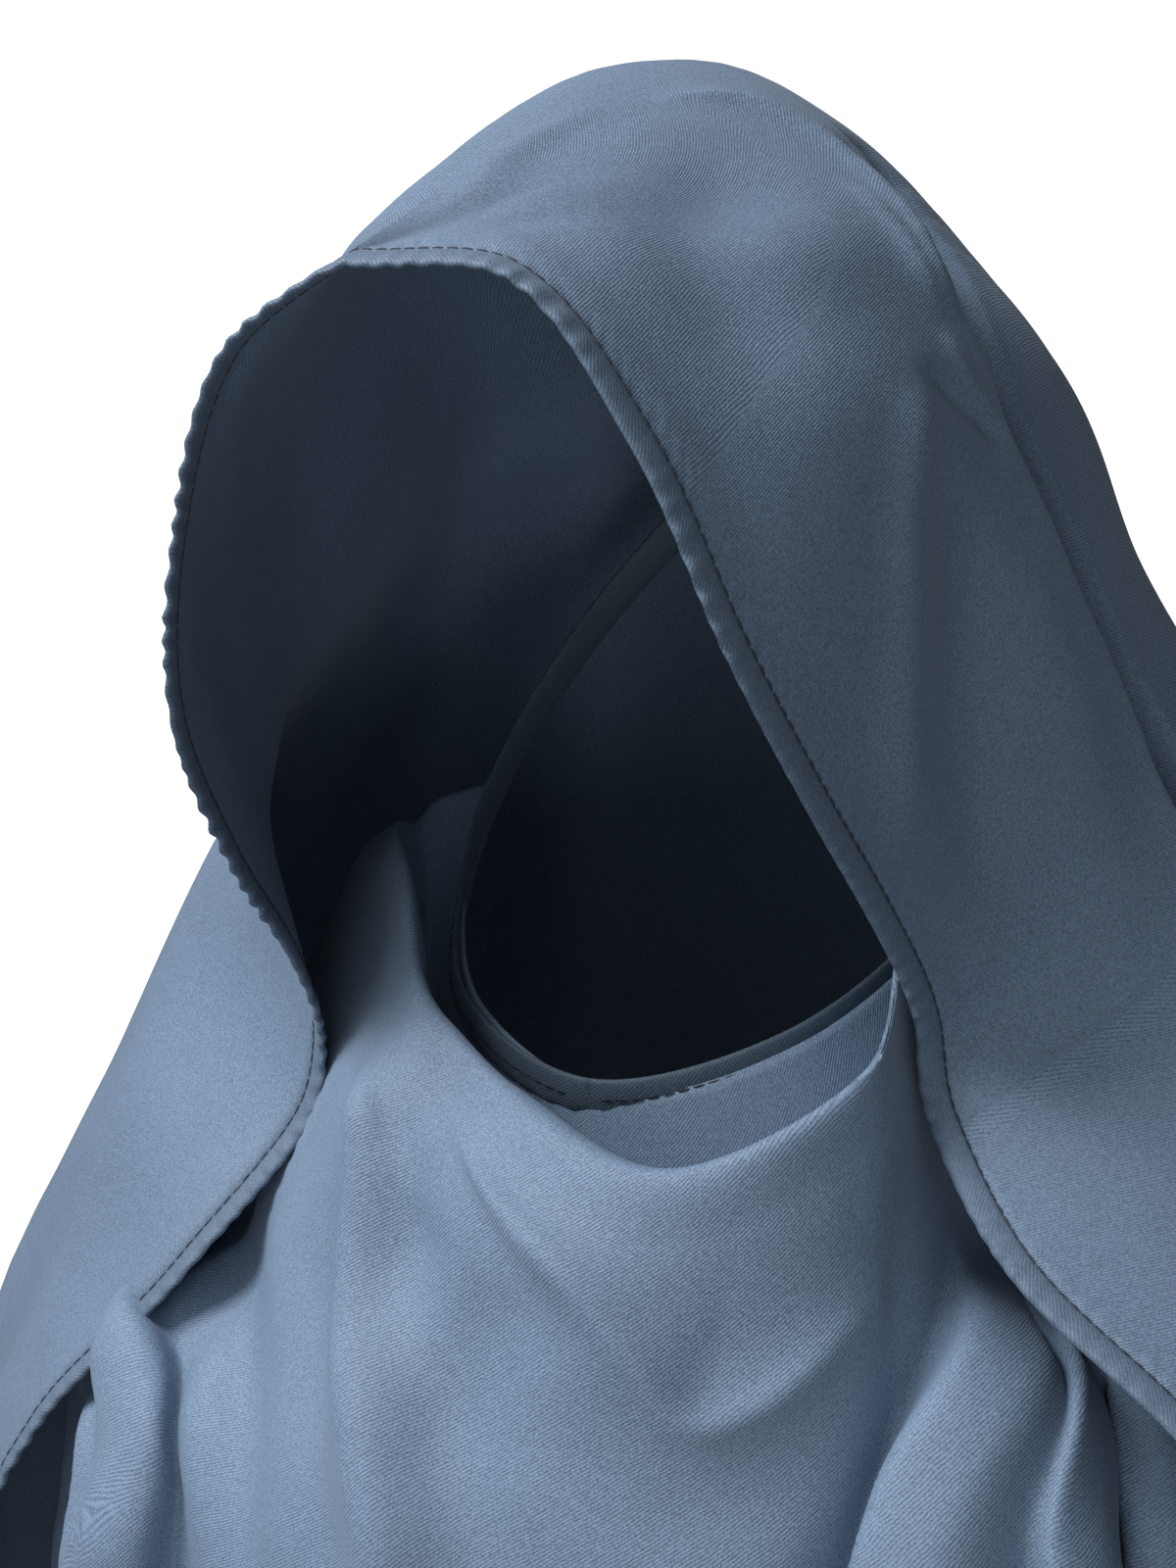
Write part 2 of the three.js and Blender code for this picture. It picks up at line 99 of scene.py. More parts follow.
class Wire:
    """One output of a material's node tree, with arithmetic."""

    def __init__(self, tree, socket):
        self.tree = tree
        self.socket = socket

    def _math(self, operation, *values):
        return node(self.tree, "ShaderNodeMath", {"operation": operation}, *values)

    def __add__(self, other):
        return self._math("ADD", self, other)

    def __sub__(self, other):
        return self._math("SUBTRACT", self, other)

    def __mul__(self, other):
        return self._math("MULTIPLY", self, other)

    def __truediv__(self, other):
        return self._math("DIVIDE", self, other)

    def __radd__(self, other):
        return self._math("ADD", other, self)

    def __rsub__(self, other):
        return self._math("SUBTRACT", other, self)

    def __rmul__(self, other):
        return self._math("MULTIPLY", other, self)

    def __rtruediv__(self, other):
        return self._math("DIVIDE", other, self)

    def sine(self):
        return self._math("SINE", self)

    def fade(self, low, high):
        """0 below low, 1 above high, smooth between."""
        settings = {"interpolation_type": "SMOOTHSTEP"}
        return node(self.tree, "ShaderNodeMapRange", settings, self, low, high)


def node(tree, kind, settings, *values, output=0, **named):
    """A node of that kind: settings first, then inputs in order, then inputs by name."""
    made = tree.nodes.new(kind)
    for key, value in settings.items():
        setattr(made, key, value)
    targets = list(zip(made.inputs, values))
    targets += [(made.inputs[key.replace("_", " ")], value) for key, value in named.items()]
    for target, value in targets:
        if isinstance(value, Wire):
            tree.links.new(value.socket, target)
        elif value is not None:
            target.default_value = value
    return Wire(tree, made.outputs[output]) if made.outputs else None


def mix_colour(tree, factor, first, second):
    """A blend of two colours: first where factor is 0, second where it is 1."""
    skipped = [None] * 5  # the Mix node's inputs for numbers and vectors
    settings = {"data_type": "RGBA"}
    return node(tree, "ShaderNodeMix", settings, factor, *skipped, first, second, output=2)


print("operators", [key for key in vars(Wire) if key.startswith("__r")])

# %% [markdown]
# The crepe. The real cloth is a satin-backed crepe: a fine diagonal twill with a slightly
# pebbled face and a soft, low sheen. A tiled picture of cloth would show its repeat and
# its seams. Here the ribs are a sine of the cloth's own flat coordinates, so they follow
# the drape, and noise strays them, speckles the yarns and varies the tone a little.

# %% Weave numbers
TWILL_PITCH = 0.0008  # metres from rib to rib
TWILL_ANGLE = math.radians(52)
TWILL_STRAY = 9.0  # radians by which the noise shifts the ribs
STRAY_SCALE = 90.0  # the larger a scale, the finer the noise
YARN_SCALE = 1900.0
CLOUD_SCALE = 14.0
PEBBLE_SCALE = 160.0
PEBBLE_HEIGHT = 0.00022
TWILL_HEIGHT = 0.6  # beside the height of a yarn
TONE = {"twill": 0.4, "yarn": 1.9, "cloud": 0.4, "least": 0.1}
GLOSS = {"twill": 0.08, "cloud": 0.12}  # changes in roughness
PUCKER_PITCH = 0.0068  # metres from crease to crease beside a hem
PUCKER_REACH = 0.01  # how far they run into the sheet
PUCKER_LEAN = 0.55
PUCKER_STRAY = 16.0
PUCKER_UNEVEN_SCALE = 45.0
SHEEN_TINT = (0.75, 0.84, 1.0, 1)
print("ribs to the centimetre", round(0.01 / TWILL_PITCH, 1))

# %% Cloth material


def pattern(tree, place, scale, detail, roughness=None):
    """Noise over the piece, from 0 to 1 and about 0.5 on average."""
    named = {"Scale": scale, "Detail": detail, "Roughness": roughness}
    return node(tree, "ShaderNodeTexNoise", {}, place, **named)


def flat_place(tree, layer):
    """The two flat coordinates of a UV layer, in metres."""
    pair = node(tree, "ShaderNodeUVMap", {"uv_map": layer})
    first = node(tree, "ShaderNodeSeparateXYZ", {}, pair)
    return first, Wire(tree, first.socket.node.outputs[1])


def puckered(tree, place):
    """Slanting creases that run from the seam into the sheet and die away."""
    along_hem, from_hem = flat_place(tree, "hem")
    uneven = pattern(tree, place, PUCKER_UNEVEN_SCALE, 2.0)
    slant = along_hem + from_hem * PUCKER_LEAN
    phase = slant * (2 * math.pi / PUCKER_PITCH) + uneven * PUCKER_STRAY
    near = 1.0 - (from_hem / PUCKER_REACH).fade(0.0, 1.0)
    return phase.sine() * near * (uneven + 0.2)


def crepe(name, light, dark, rough=0.6, pucker=0.0, weave_depth=0.00012):
    """A twill crepe; pucker and weave_depth are heights of relief in metres."""
    material = bpy.data.materials.new(name)
    material.use_nodes = True
    tree = material.node_tree
    tree.nodes.clear()
    across, along = flat_place(tree, "cloth")
    place = node(tree, "ShaderNodeTexCoord", {}, output=3)
    run = across * math.cos(TWILL_ANGLE) + along * math.sin(TWILL_ANGLE)
    stray = pattern(tree, place, STRAY_SCALE, 2.0) * TWILL_STRAY
    twill = (run * (2 * math.pi / TWILL_PITCH) + stray).sine() * 0.5 + 0.5
    yarn = pattern(tree, place, YARN_SCALE, 2.0, 0.6)
    cloud = pattern(tree, place, CLOUD_SCALE, 4.0, 0.55)
    tone = twill * TONE["twill"] + (yarn - 0.5) * TONE["yarn"] + cloud * TONE["cloud"]
    colour = mix_colour(tree, (tone + TONE["least"]).fade(0.0, 1.0), dark, light)
    roughness = rough + (cloud - 0.5) * GLOSS["cloud"] - (twill - 0.5) * GLOSS["twill"]
    height = twill * (weave_depth * TWILL_HEIGHT) + yarn * weave_depth
    height = height + pattern(tree, place, PEBBLE_SCALE, 3.0) * PEBBLE_HEIGHT
    if pucker:
        height = height + puckered(tree, place) * pucker
    bump = node(tree, "ShaderNodeBump", {}, Strength=1.0, Distance=1.0, Height=height)
    shader = node(
        tree, "ShaderNodeBsdfPrincipled", {},
        Base_Color=colour, Roughness=roughness, Normal=bump, Specular_IOR_Level=0.35,
        Sheen_Weight=0.12, Sheen_Roughness=0.45, Sheen_Tint=SHEEN_TINT,
    )
    node(tree, "ShaderNodeOutputMaterial", {}, shader)
    return material


print("ribs lean by", round(math.degrees(TWILL_ANGLE)), "degrees")

# %% [markdown]
# Five uses of that crepe. The panel's colours are a little lighter than the cape's: painted
# light, which brightens the lower front where the lamps give too little. The hems are darker,
# since several layers let no light through. The band is darker still, partly for its
# folded layers and partly as painted shade that stands in for the shade under the chin. The
# topstitching is a navy thread. One recipe with other numbers makes them all, so that
# they stay one cloth. Only the cape carries pucker creases, beside its face hem, where
# the seam draws them into a free hanging edge.

# %% Colours
CAPE_LIGHT = (0.15, 0.22, 0.318, 1)
CAPE_DARK = (0.06, 0.094, 0.15, 1)
# Painted light: the panel's colours are lighter than the cape's to brighten the lower front.
PANEL_LIGHT_WITH_PAINTED_LIGHT = (0.18, 0.26, 0.372, 1)
PANEL_DARK_WITH_PAINTED_LIGHT = (0.073, 0.114, 0.178, 1)
HEM_LIGHT = (0.104, 0.154, 0.226, 1)
HEM_DARK = (0.052, 0.08, 0.126, 1)
# Partly painted shade: the band's colours are darker than the hems', standing in for the shade under
# the chin, besides its folded layers.
BAND_LIGHT_WITH_PAINTED_SHADE = (0.07, 0.108, 0.15, 1)
BAND_DARK_WITH_PAINTED_SHADE = (0.034, 0.056, 0.082, 1)
THREAD_LIGHT = (0.02, 0.028, 0.05, 1)
THREAD_DARK = (0.01, 0.014, 0.028, 1)

cape_crepe = crepe("cape_crepe", CAPE_LIGHT, CAPE_DARK, pucker=0.00013)
# The panel's crepe carries painted light in its lighter colours.
panel_crepe = crepe("panel_crepe", PANEL_LIGHT_WITH_PAINTED_LIGHT, PANEL_DARK_WITH_PAINTED_LIGHT)
hem_crepe = crepe("hem_crepe", HEM_LIGHT, HEM_DARK, rough=0.62, weave_depth=0.00006)
# The band's crepe carries painted shade in its darker colours.
band_crepe = crepe("band_crepe", BAND_LIGHT_WITH_PAINTED_SHADE, BAND_DARK_WITH_PAINTED_SHADE, rough=0.62, weave_depth=0.00008)
thread = crepe("thread", THREAD_LIGHT, THREAD_DARK, rough=0.5, weave_depth=0.00004)
print("materials", [m.name for m in (cape_crepe, panel_crepe, hem_crepe, band_crepe, thread)])

# %% [markdown]
# From table to surface. Draped cloth bends smoothly between the places that hold it. A
# sheet is a grid over u, across, and v, down. Its shape could be sculpted, but then no
# size could be changed. So each row of a table is one section through the cloth, and
# smooth cubic curves join the rows, down the cloth as well as across it. Shares in the
# tables are of the same three driving sizes as the solids have.

# %% Curves
SPREAD = 0.2  # metres, half the width over the shoulders
DEPTH = 0.2  # reach forward or back of the crown
LENGTH = 0.8  # crown to the front lower edge
MM = 0.001


def smooth(x):
    """Smooth step from 0 at x = 0 to 1 at x = 1."""
    s = np.clip(x, 0, 1)
    return s * s * (3 - 2 * s)


def cubic(knots, values, slopes, index, t):
    """Hermite curve between knots index and index + 1 at t."""
    span = knots[index + 1] - knots[index]
    s = np.clip((t - knots[index]) / span, 0, 1)[..., None]
    span = span[..., None]
    first, second = values(index), values(index + 1)
    leave, arrive = slopes(index), slopes(index + 1)
    return (
        (1 + 2 * s) * (1 - s) ** 2 * first
        + s * (1 - s) ** 2 * span * leave
        + s * s * (3 - 2 * s) * second
        + s * s * (s - 1) * span * arrive
    )


def read(rows, key, t):
    """One column of a table at the shares t, shape (..., columns)."""
    knots = np.array([row["at"] for row in rows])
    values = np.array([np.atleast_1d(row[key]) for row in rows], float)
    count = len(knots)
    before = np.maximum(0, np.arange(count) - 1)
    after = np.minimum(count - 1, np.arange(count) + 1)
    slopes = (values[after] - values[before]) / (knots[after] - knots[before])[:, None]
    index = np.clip(np.searchsorted(knots, t) - 1, 0, count - 2)
    return cubic(knots, lambda k: values[k], lambda k: slopes[k], index, t)


def through(knots, points, t):
    """A smooth curve through fields of points, at the shares t across."""
    knots = np.array(knots)
    points = np.stack(points, 0)
    count = len(knots)
    before = np.maximum(0, np.arange(count) - 1)
    after = np.minimum(count - 1, np.arange(count) + 1)
    reach = (knots[after] - knots[before]).reshape((-1,) + (1,) * (points.ndim - 1))
    slopes = (points[after] - points[before]) / reach
    index = np.clip(np.searchsorted(knots, t) - 1, 0, count - 2)
    cell = tuple(np.indices(index.shape))
    return cubic(knots, lambda k: points[(k,) + cell], lambda k: slopes[(k,) + cell], index, t)


def xyz(x, y, z):
    """Points from three fields of numbers."""
    return np.stack(np.broadcast_arrays(x, y, z), -1)


def scaled(shares):
    """Shares of the driving sizes as metres: out, back, down."""
    return shares * np.array([SPREAD, DEPTH, -LENGTH])


print("driving sizes", SPREAD, DEPTH, LENGTH, "m")

# %% [markdown]
# The cape's sections. On the real veil the cape is a wide sheet of crepe laid over the
# crown and open in front, with no seam in view. Each row is a C-shaped section from the
# stitched front edge round the side to the middle of the back, given on one side and
# mirrored. It leans: the hood sits a little to one side and is fuller on the wearer's
# right. Seven points across are enough, since cloth can't bend sharply in its own plane.

# %% Cape sections
# at: share of the way down. edge and side: out, back, down. rear: back, down.
CAPE_SECTIONS = [
    dict(at=0.0, edge=(0.0, -0.615, 0.042), side=(0.0, -0.615, 0.042), rear=(-0.615, 0.042)),
    dict(at=0.045, edge=(0.19, -0.64, 0.058), side=(0.16, -0.49, 0.042), rear=(-0.44, 0.021)),
    dict(at=0.1, edge=(0.31, -0.65, 0.106), side=(0.33, -0.38, 0.06), rear=(-0.22, 0.002)),
    dict(at=0.155, edge=(0.375, -0.63, 0.16), side=(0.45, -0.23, 0.086), rear=(0.0, -0.006)),
    dict(at=0.21, edge=(0.405, -0.53, 0.212), side=(0.505, -0.09, 0.124), rear=(0.21, 0.005)),
    dict(at=0.255, edge=(0.42, -0.42, 0.252), side=(0.55, 0.0, 0.164), rear=(0.37, 0.031)),
    dict(at=0.3, edge=(0.45, -0.33, 0.292), side=(0.62, 0.05, 0.208), rear=(0.49, 0.067)),
    dict(at=0.335, edge=(0.48, -0.352, 0.322), side=(0.715, 0.07, 0.246), rear=(0.58, 0.102)),
    dict(at=0.385, edge=(0.61, -0.5, 0.357), side=(0.86, 0.08, 0.3), rear=(0.66, 0.157)),
    dict(at=0.455, edge=(0.82, -0.6, 0.4), side=(1.05, 0.085, 0.37), rear=(0.74, 0.235)),
    dict(at=0.55, edge=(0.95, -0.66, 0.47), side=(1.21, 0.085, 0.465), rear=(0.83, 0.34)),
    dict(at=0.7, edge=(1.04, -0.72, 0.605), side=(1.32, 0.08, 0.61), rear=(0.95, 0.51)),
    dict(at=0.85, edge=(1.1, -0.79, 0.785), side=(1.38, 0.07, 0.8), rear=(1.04, 0.73)),
    dict(at=1.0, edge=(1.14, -0.85, 0.97), side=(1.42, 0.06, 1.0), rear=(1.12, 1.03)),
]
ROUNDNESS = 0.71  # how full a section is between the side and the back
TEMPLE_OUT = 0.82  # the point between edge and side: share of the way out
TEMPLE_BACK = 0.46  # and share of the way back
# shift: sideways. swell: how much fuller the -X side is. drop: how much lower it hangs.
CAPE_LEAN = [
    dict(at=0.0, shift=-0.125, swell=0.0, drop=0.0),
    dict(at=0.045, shift=-0.09, swell=0.0, drop=0.022),
    dict(at=0.1, shift=-0.06, swell=0.0, drop=0.03),
    dict(at=0.155, shift=-0.04, swell=0.0, drop=0.03),
    dict(at=0.255, shift=-0.01, swell=0.05, drop=0.034),
    dict(at=0.335, shift=-0.02, swell=0.12, drop=0.034),
    dict(at=0.455, shift=0.03, swell=0.1, drop=0.06),
    dict(at=0.7, shift=0.0, swell=0.03, drop=0.03),
    dict(at=1.0, shift=0.0, swell=0.0, drop=0.0),
]
print("cape sections", len(CAPE_SECTIONS), "lean rows", len(CAPE_LEAN))

# %% Cape without folds


def cape_base(u, v):
    """The cape without folds: u runs from its +X front edge round the back to the other."""
    edge, side, rear = (read(CAPE_SECTIONS, key, v) for key in ("edge", "side", "rear"))
    shift, swell, drop = (read(CAPE_LEAN, key, v)[..., 0] for key in ("shift", "swell", "drop"))
    knots, points = np.linspace(0, 1, 9), []
    for way in (1, -1):
        wide = side[..., 0] + (swell if way < 0 else 0)
        edge_z = edge[..., 2] - way * drop / 2
        side_z = side[..., 2] - way * drop / 2
        temple_x = edge[..., 0] + (wide - edge[..., 0]) * TEMPLE_OUT
        temple_y = edge[..., 1] + (side[..., 1] - edge[..., 1]) * TEMPLE_BACK
        heel_y = side[..., 1] + (rear[..., 0] - side[..., 1]) * ROUNDNESS
        half = [
            xyz(way * edge[..., 0], edge[..., 1], edge_z),
            xyz(way * temple_x, temple_y, (edge_z + side_z) / 2),
            xyz(way * wide, side[..., 1], side_z),
            xyz(way * wide * ROUNDNESS, heel_y, (side_z + rear[..., 1]) / 2),
        ]
        if way > 0:
            points += half + [xyz(0 * u, rear[..., 0], rear[..., 1])]
        else:
            points += half[::-1]
    return scaled(through(knots, points, u) + xyz(shift, 0, 0))


corner = cape_base(np.array([0.0]), np.array([1.0]))[0]
print("lower front corner of the cape at", corner.round(3))

# %% [markdown]
# Hanging folds. Where the cloth falls free it gathers into long soft folds that run to
# the lower edge. Each is one row: it starts at a height, grows to its full depth, and
# may drift sideways or lean over. Pushing the surface out by a bell curve makes it.
# That keeps the sheet whole, and one row is one fold, so a fold is easy to move.

# %% Cape folds
# at: u of the fold. drift: how far u moves as it grows. wide: in u.
# deep and tip: millimetres out and sideways.
# start, full, end: shares of the way down where it begins, is deepest and dies away.
CAPE_FOLDS = [
    dict(at=0.36, drift=0.0, wide=0.07, deep=-13, tip=0, start=0.26, full=0.36, end=0.7),
    dict(at=0.42, drift=0.04, wide=0.021, deep=-18, tip=0, start=0.3, full=0.45, end=5),
    dict(at=0.6, drift=-0.02, wide=0.03, deep=-20, tip=0, start=0.14, full=0.4, end=5),
    dict(at=0.65, drift=-0.02, wide=0.032, deep=11, tip=-7, start=0.14, full=0.4, end=5),
    dict(at=0.3, drift=0.01, wide=0.035, deep=8, tip=0, start=0.2, full=0.6, end=5),
    dict(at=0.24, drift=0.0, wide=0.03, deep=-9, tip=0, start=0.32, full=0.7, end=5),
    dict(at=0.17, drift=0.0, wide=0.035, deep=8, tip=0, start=0.34, full=0.65, end=5),
    dict(at=0.1, drift=0.0, wide=0.03, deep=-10, tip=0, start=0.36, full=0.62, end=5),
    dict(at=0.75, drift=0.0, wide=0.035, deep=-9, tip=0, start=0.34, full=0.7, end=5),
    dict(at=0.83, drift=0.0, wide=0.035, deep=9, tip=0, start=0.34, full=0.62, end=5),
    dict(at=0.9, drift=0.0, wide=0.03, deep=-10, tip=0, start=0.36, full=0.6, end=5),
    dict(at=0.52, drift=0.0, wide=0.035, deep=13, tip=0, start=0.3, full=0.75, end=5),
]
print("cape folds", len(CAPE_FOLDS))

# %% Folding


def unit(vectors):
    """The vectors at length one."""
    return vectors / (np.linalg.norm(vectors, axis=-1, keepdims=True) + 1e-12)


def folded(base, folds, u, v, step=0.004):
    """The base surface pushed out and sideways by every fold in the tables."""
    here = base(u, v)
    across = unit(base(np.minimum(1, u + step), v) - base(np.maximum(0, u - step), v))
    down = base(u, np.minimum(1, v + step)) - base(u, np.maximum(0, v - step))
    out = unit(np.cross(down, across))
    moved = here.copy()
    for fold in folds:
        grown = smooth((v - fold["start"]) / (fold["full"] - fold["start"]))
        left = 1 - smooth((v - fold["full"]) / (fold["end"] - fold["full"]))
        x = (u - fold["at"] - fold["drift"] * grown) / fold["wide"]
        height = (grown * left * np.exp(-x * x))[..., None] * MM
        moved += out * height * fold["deep"] + across * height * fold["tip"]
    return moved


def cape_surface(u, v):
    """The cape with its hanging folds."""
    return folded(cape_base, CAPE_FOLDS, u, v)


middle = cape_surface(np.array([0.5]), np.array([1.0]))[0]
print("middle of the cape's lower edge at", middle.round(3))

# %% [markdown]
# Drawn folds. Creases over the crown, the deep fold behind the hood's side and the
# pleats run at every angle, so they can't be rows of the sections. Each one is a line
# drawn on the cloth through (u, v) points, as a sculptor would draw it with a crease
# brush, and there are four kinds. A plain line is a soft ridge or hollow, wide as given.
# A crease has a sharp top. A tuck leaves a crisp edge along the line and sinks the cloth
# behind it, where it is pinched under by tip and comes back to the surface after wide. A
# tuck with a slot stays open as a groove of that width and is shallow beyond it, which
# keeps the outline whole. deep, wide, tip and slot are millimetres. behind says which side
# of a tuck sinks: 1 is the left hand of someone who walks along the line, with u to the
# right and v down, and -1 is the right hand. rise and fall are the shares of the line
# over which it grows and dies away.

# %% Cape fold lines
CAPE_LINES = [
    # The deep fold behind the hood's side, and the thin layer in front of its start.
    dict(
        path=[
            (0.43, 0.175), (0.405, 0.176), (0.375, 0.174), (0.332, 0.17), (0.287, 0.174),
            (0.25, 0.187), (0.235, 0.198), (0.22, 0.22), (0.206, 0.257), (0.204, 0.293),
            (0.196, 0.315), (0.19, 0.38), (0.186, 0.5), (0.182, 0.62),
        ],
        tuck=True, deep=-22, wide=60, slot=16, tip=8, behind=1, rise=0.12, fall=0.3,
    ),
    dict(
        path=[(0.42, 0.162), (0.39, 0.161), (0.35, 0.158), (0.308, 0.16), (0.27, 0.17), (0.245, 0.183)],
        tuck=True, deep=-4.5, wide=14, tip=2, behind=1, rise=0.25, fall=0.25,
    ),
    # The thin raised crease over the crown and its faint twin.
    dict(
        path=[
            (0.45, 0.1), (0.434, 0.13), (0.415, 0.141), (0.39, 0.147), (0.36, 0.149),
            (0.323, 0.152), (0.288, 0.156), (0.258, 0.168),
        ],
        crease=True, deep=4.2, wide=3.6, rise=0.25, fall=0.15,
    ),
    dict(
        path=[(0.36, 0.132), (0.325, 0.141), (0.282, 0.15), (0.254, 0.161)],
        crease=True, deep=2.4, wide=2.8, rise=0.3, fall=0.3,
    ),
    # The dent where that crease runs into the deep fold, and a low ridge beside it.
    dict(
        path=[(0.207, 0.155), (0.213, 0.17), (0.217, 0.184), (0.224, 0.203)],
        crease=True, deep=-3.2, wide=3.4, rise=0.3, fall=0.25,
    ),
    dict(
        path=[(0.245, 0.158), (0.231, 0.176), (0.229, 0.196)],
        crease=True, deep=1.8, wide=3.4, rise=0.3, fall=0.3,
    ),
    # The long soft ridge down the side, a shallow hollow above and one below it, and a
    # second ridge under that.
    dict(
        path=[(0.205, 0.158), (0.144, 0.176), (0.103, 0.194), (0.056, 0.222), (0.023, 0.254)],
        deep=2.4, wide=6.5, rise=0.15, fall=0.2,
    ),
    dict(
        path=[(0.43, 0.1), (0.33, 0.09), (0.218, 0.086), (0.111, 0.118), (0.04, 0.15)],
        deep=-4.6, wide=18, rise=0.25, fall=0.3,
    ),
    dict(
        path=[(0.19, 0.19), (0.153, 0.203), (0.08, 0.253), (0.037, 0.306)],
        deep=-4.5, wide=13, rise=0.3, fall=0.3,
    ),
    dict(
        path=[(0.19, 0.21), (0.173, 0.238), (0.134, 0.299), (0.096, 0.345)],
        deep=2.6, wide=13, rise=0.3, fall=0.3,
    ),
    # Drag lines that spread from the peak over the forehead.
    dict(
        path=[(0.35, 0.02), (0.44, 0.045), (0.456, 0.07), (0.445, 0.11)],
        deep=1.6, wide=5, rise=0.3, fall=0.4,
    ),
    dict(path=[(0.25, 0.02), (0.3, 0.03), (0.34, 0.045)], deep=-1.4, wide=3.5, rise=0.3, fall=0.5),
    dict(path=[(0.12, 0.03), (0.18, 0.045), (0.23, 0.06)], deep=-1.1, wide=3, rise=0.3, fall=0.5),
    dict(path=[(0.6, 0.02), (0.56, 0.05), (0.55, 0.09)], deep=-1.5, wide=4, rise=0.3, fall=0.5),
]
print("cape fold lines", len(CAPE_LINES))

# %% Pressing lines into a sheet
STEEPEST = 6  # millimetres over which a tuck's edge falls, at most
SLOT_SHARE = 0.75  # share of a slotted tuck's depth that stays within the slot
LINE_REACH = 0.09  # metres from a line within which the cloth may move
ACROSS_TO_DOWN = [0.9, 1.0]  # length of a step in u beside one in v


def grid_normals(grid):
    """Outward normal at each point of a grid, rows going down."""
    across = np.gradient(grid, axis=1)
    down = np.gradient(grid, axis=0)
    return unit(np.cross(down, across))


def drawn(path, count=48):
    """A smooth line of points through (u, v) pairs."""
    path = np.array(path)
    walked = np.concatenate([[0], np.cumsum(np.hypot(*np.diff(path, axis=0).T))])
    at = np.linspace(0, walked[-1], count)
    return through(walked, [np.broadcast_to(p, (count, 2)) for p in path], at)


def nearest(points, flat, spots, path):
    """Each point's distance to a drawn line, share along it, side of it and way to it."""
    best, spoke = np.full(len(points), np.inf), np.zeros_like(points)
    share, turn = np.zeros(len(points)), np.zeros(len(points))
    for k in range(len(path) - 1):
        step = spots[k + 1] - spots[k]
        t = np.clip((points - spots[k]) @ step / (step @ step + 1e-12), 0, 1)
        gap = points - spots[k] - t[:, None] * step
        away = np.linalg.norm(gap, axis=1)
        lead = path[k + 1] - path[k]
        side = (flat - path[k] - t[:, None] * lead) * ACROSS_TO_DOWN
        nearer = away < best
        best[nearer], spoke[nearer] = away[nearer], gap[nearer]
        share[nearer] = (k + t[nearer]) / (len(path) - 1)
        turn[nearer] = (lead[1] * side[:, 0] - lead[0] * side[:, 1])[nearer]
    return best, share, turn, spoke


def cross_section(line, s):
    """Height of the cloth and how far it is pinched under, s millimetres behind a line."""
    wide, deep = line["wide"], line["deep"]
    if not line.get("tuck"):
        bend = np.abs(s) if line.get("crease") else s * s / wide
        return np.exp(-bend / wide) * deep, np.zeros_like(s)
    steep, hold = min(STEEPEST, 0.25 * wide), line.get("slot", 0.4 * wide)
    left = 1 - smooth((s - hold) / (wide - hold))
    if "slot" in line:
        groove = 1 - smooth((s - hold) / (0.5 * hold))
        left = SLOT_SHARE * groove + (1 - SLOT_SHARE) * left
    sunk = left * (1 - np.exp(-np.maximum(s, 0) / (0.4 * steep)))
    pinch = smooth(s / steep * 1.4) * (1 - smooth((s - steep) / (2 * steep))) * line["tip"]
    lip = np.exp(-(((s / steep + 0.4) / 0.8) ** 2)) * 0.1 * steep
    return sunk * deep + lip, pinch


def pressed(grid, u, v, surface, lines, passes=1):
    """The grid with every line pressed in; passes softens the result."""
    out = grid_normals(grid)
    moved = np.zeros_like(grid)
    for line in lines:
        path = drawn(line["path"])
        spots = surface(path[:, 0], path[:, 1])
        low, high = spots.min(0) - LINE_REACH, spots.max(0) + LINE_REACH
        close = np.all((grid > low) & (grid < high), axis=-1)
        flat = np.stack([u[close], v[close]], -1)
        best, share, turn, spoke = nearest(grid[close], flat, spots, path)
        sign = np.where(turn > 0, 1, -1) * line.get("behind", 1)
        height, pinch = cross_section(line, sign * best / MM)
        grown = smooth(share / line["rise"]) * smooth((1 - share) / line["fall"])
        backward = unit(spoke) * sign[:, None]
        shift = out[close] * height[:, None] - backward * pinch[:, None]
        moved[close] += shift * (grown * MM)[:, None]
    for _ in range(passes):
        moved[1:-1] = (moved[:-2] + 2 * moved[1:-1] + moved[2:]) / 4
        moved[:, 1:-1] = (moved[:, :-2] + 2 * moved[:, 1:-1] + moved[:, 2:]) / 4
    return grid + moved


deepest = min(line["deep"] for line in CAPE_LINES)
print("deepest line in the cape", deepest, "mm")

# %% [markdown]
# Grids. Rows and columns lie closest where the folds are sharp. Real cloth is never quite
# even, so a few seeded waves lift the sheet by fractions of a millimetre. Subdivision
# with a displacement modifier could do both, but would refine the plain skirt as much
# as the hood, and the triangles are needed at the folds.

# %% Grid helpers
UNEVEN_WAVES = 9


def spaced(*spans):
    """Shares from 0 to 1, closer together where a span says so: (up to, how many)."""
    shares = [0.0]
    for up_to, count in spans:
        start = shares[-1]
        shares += [start + (up_to - start) * (k + 1) / count for k in range(count)]
    return np.array(shares)


def unevenness(u, v, seed):
    """Seeded smooth waves over the sheet, from about -1 to 1."""
    rng = np.random.default_rng(seed)
    total = np.zeros(np.broadcast(u, v).shape)
    for _ in range(UNEVEN_WAVES):
        a, b = rng.uniform(2, 9), rng.uniform(2, 13)
        turn = rng.uniform(-1, 1)
        phase = rng.uniform(0, 2 * math.pi, 2)
        total += np.sin(2 * math.pi * (a * u + turn * b * v) + phase[0]) * np.sin(
            2 * math.pi * b * v + phase[1]
        )
    return total / math.sqrt(UNEVEN_WAVES)


def lengths(grid, axis):
    """Distance walked along an axis of a grid, from its first line."""
    steps = np.linalg.norm(np.diff(grid, axis=axis), axis=-1)
    start = np.zeros_like(np.take(steps, [0], axis=axis))
    return np.concatenate([start, np.cumsum(steps, axis=axis)], axis=axis)


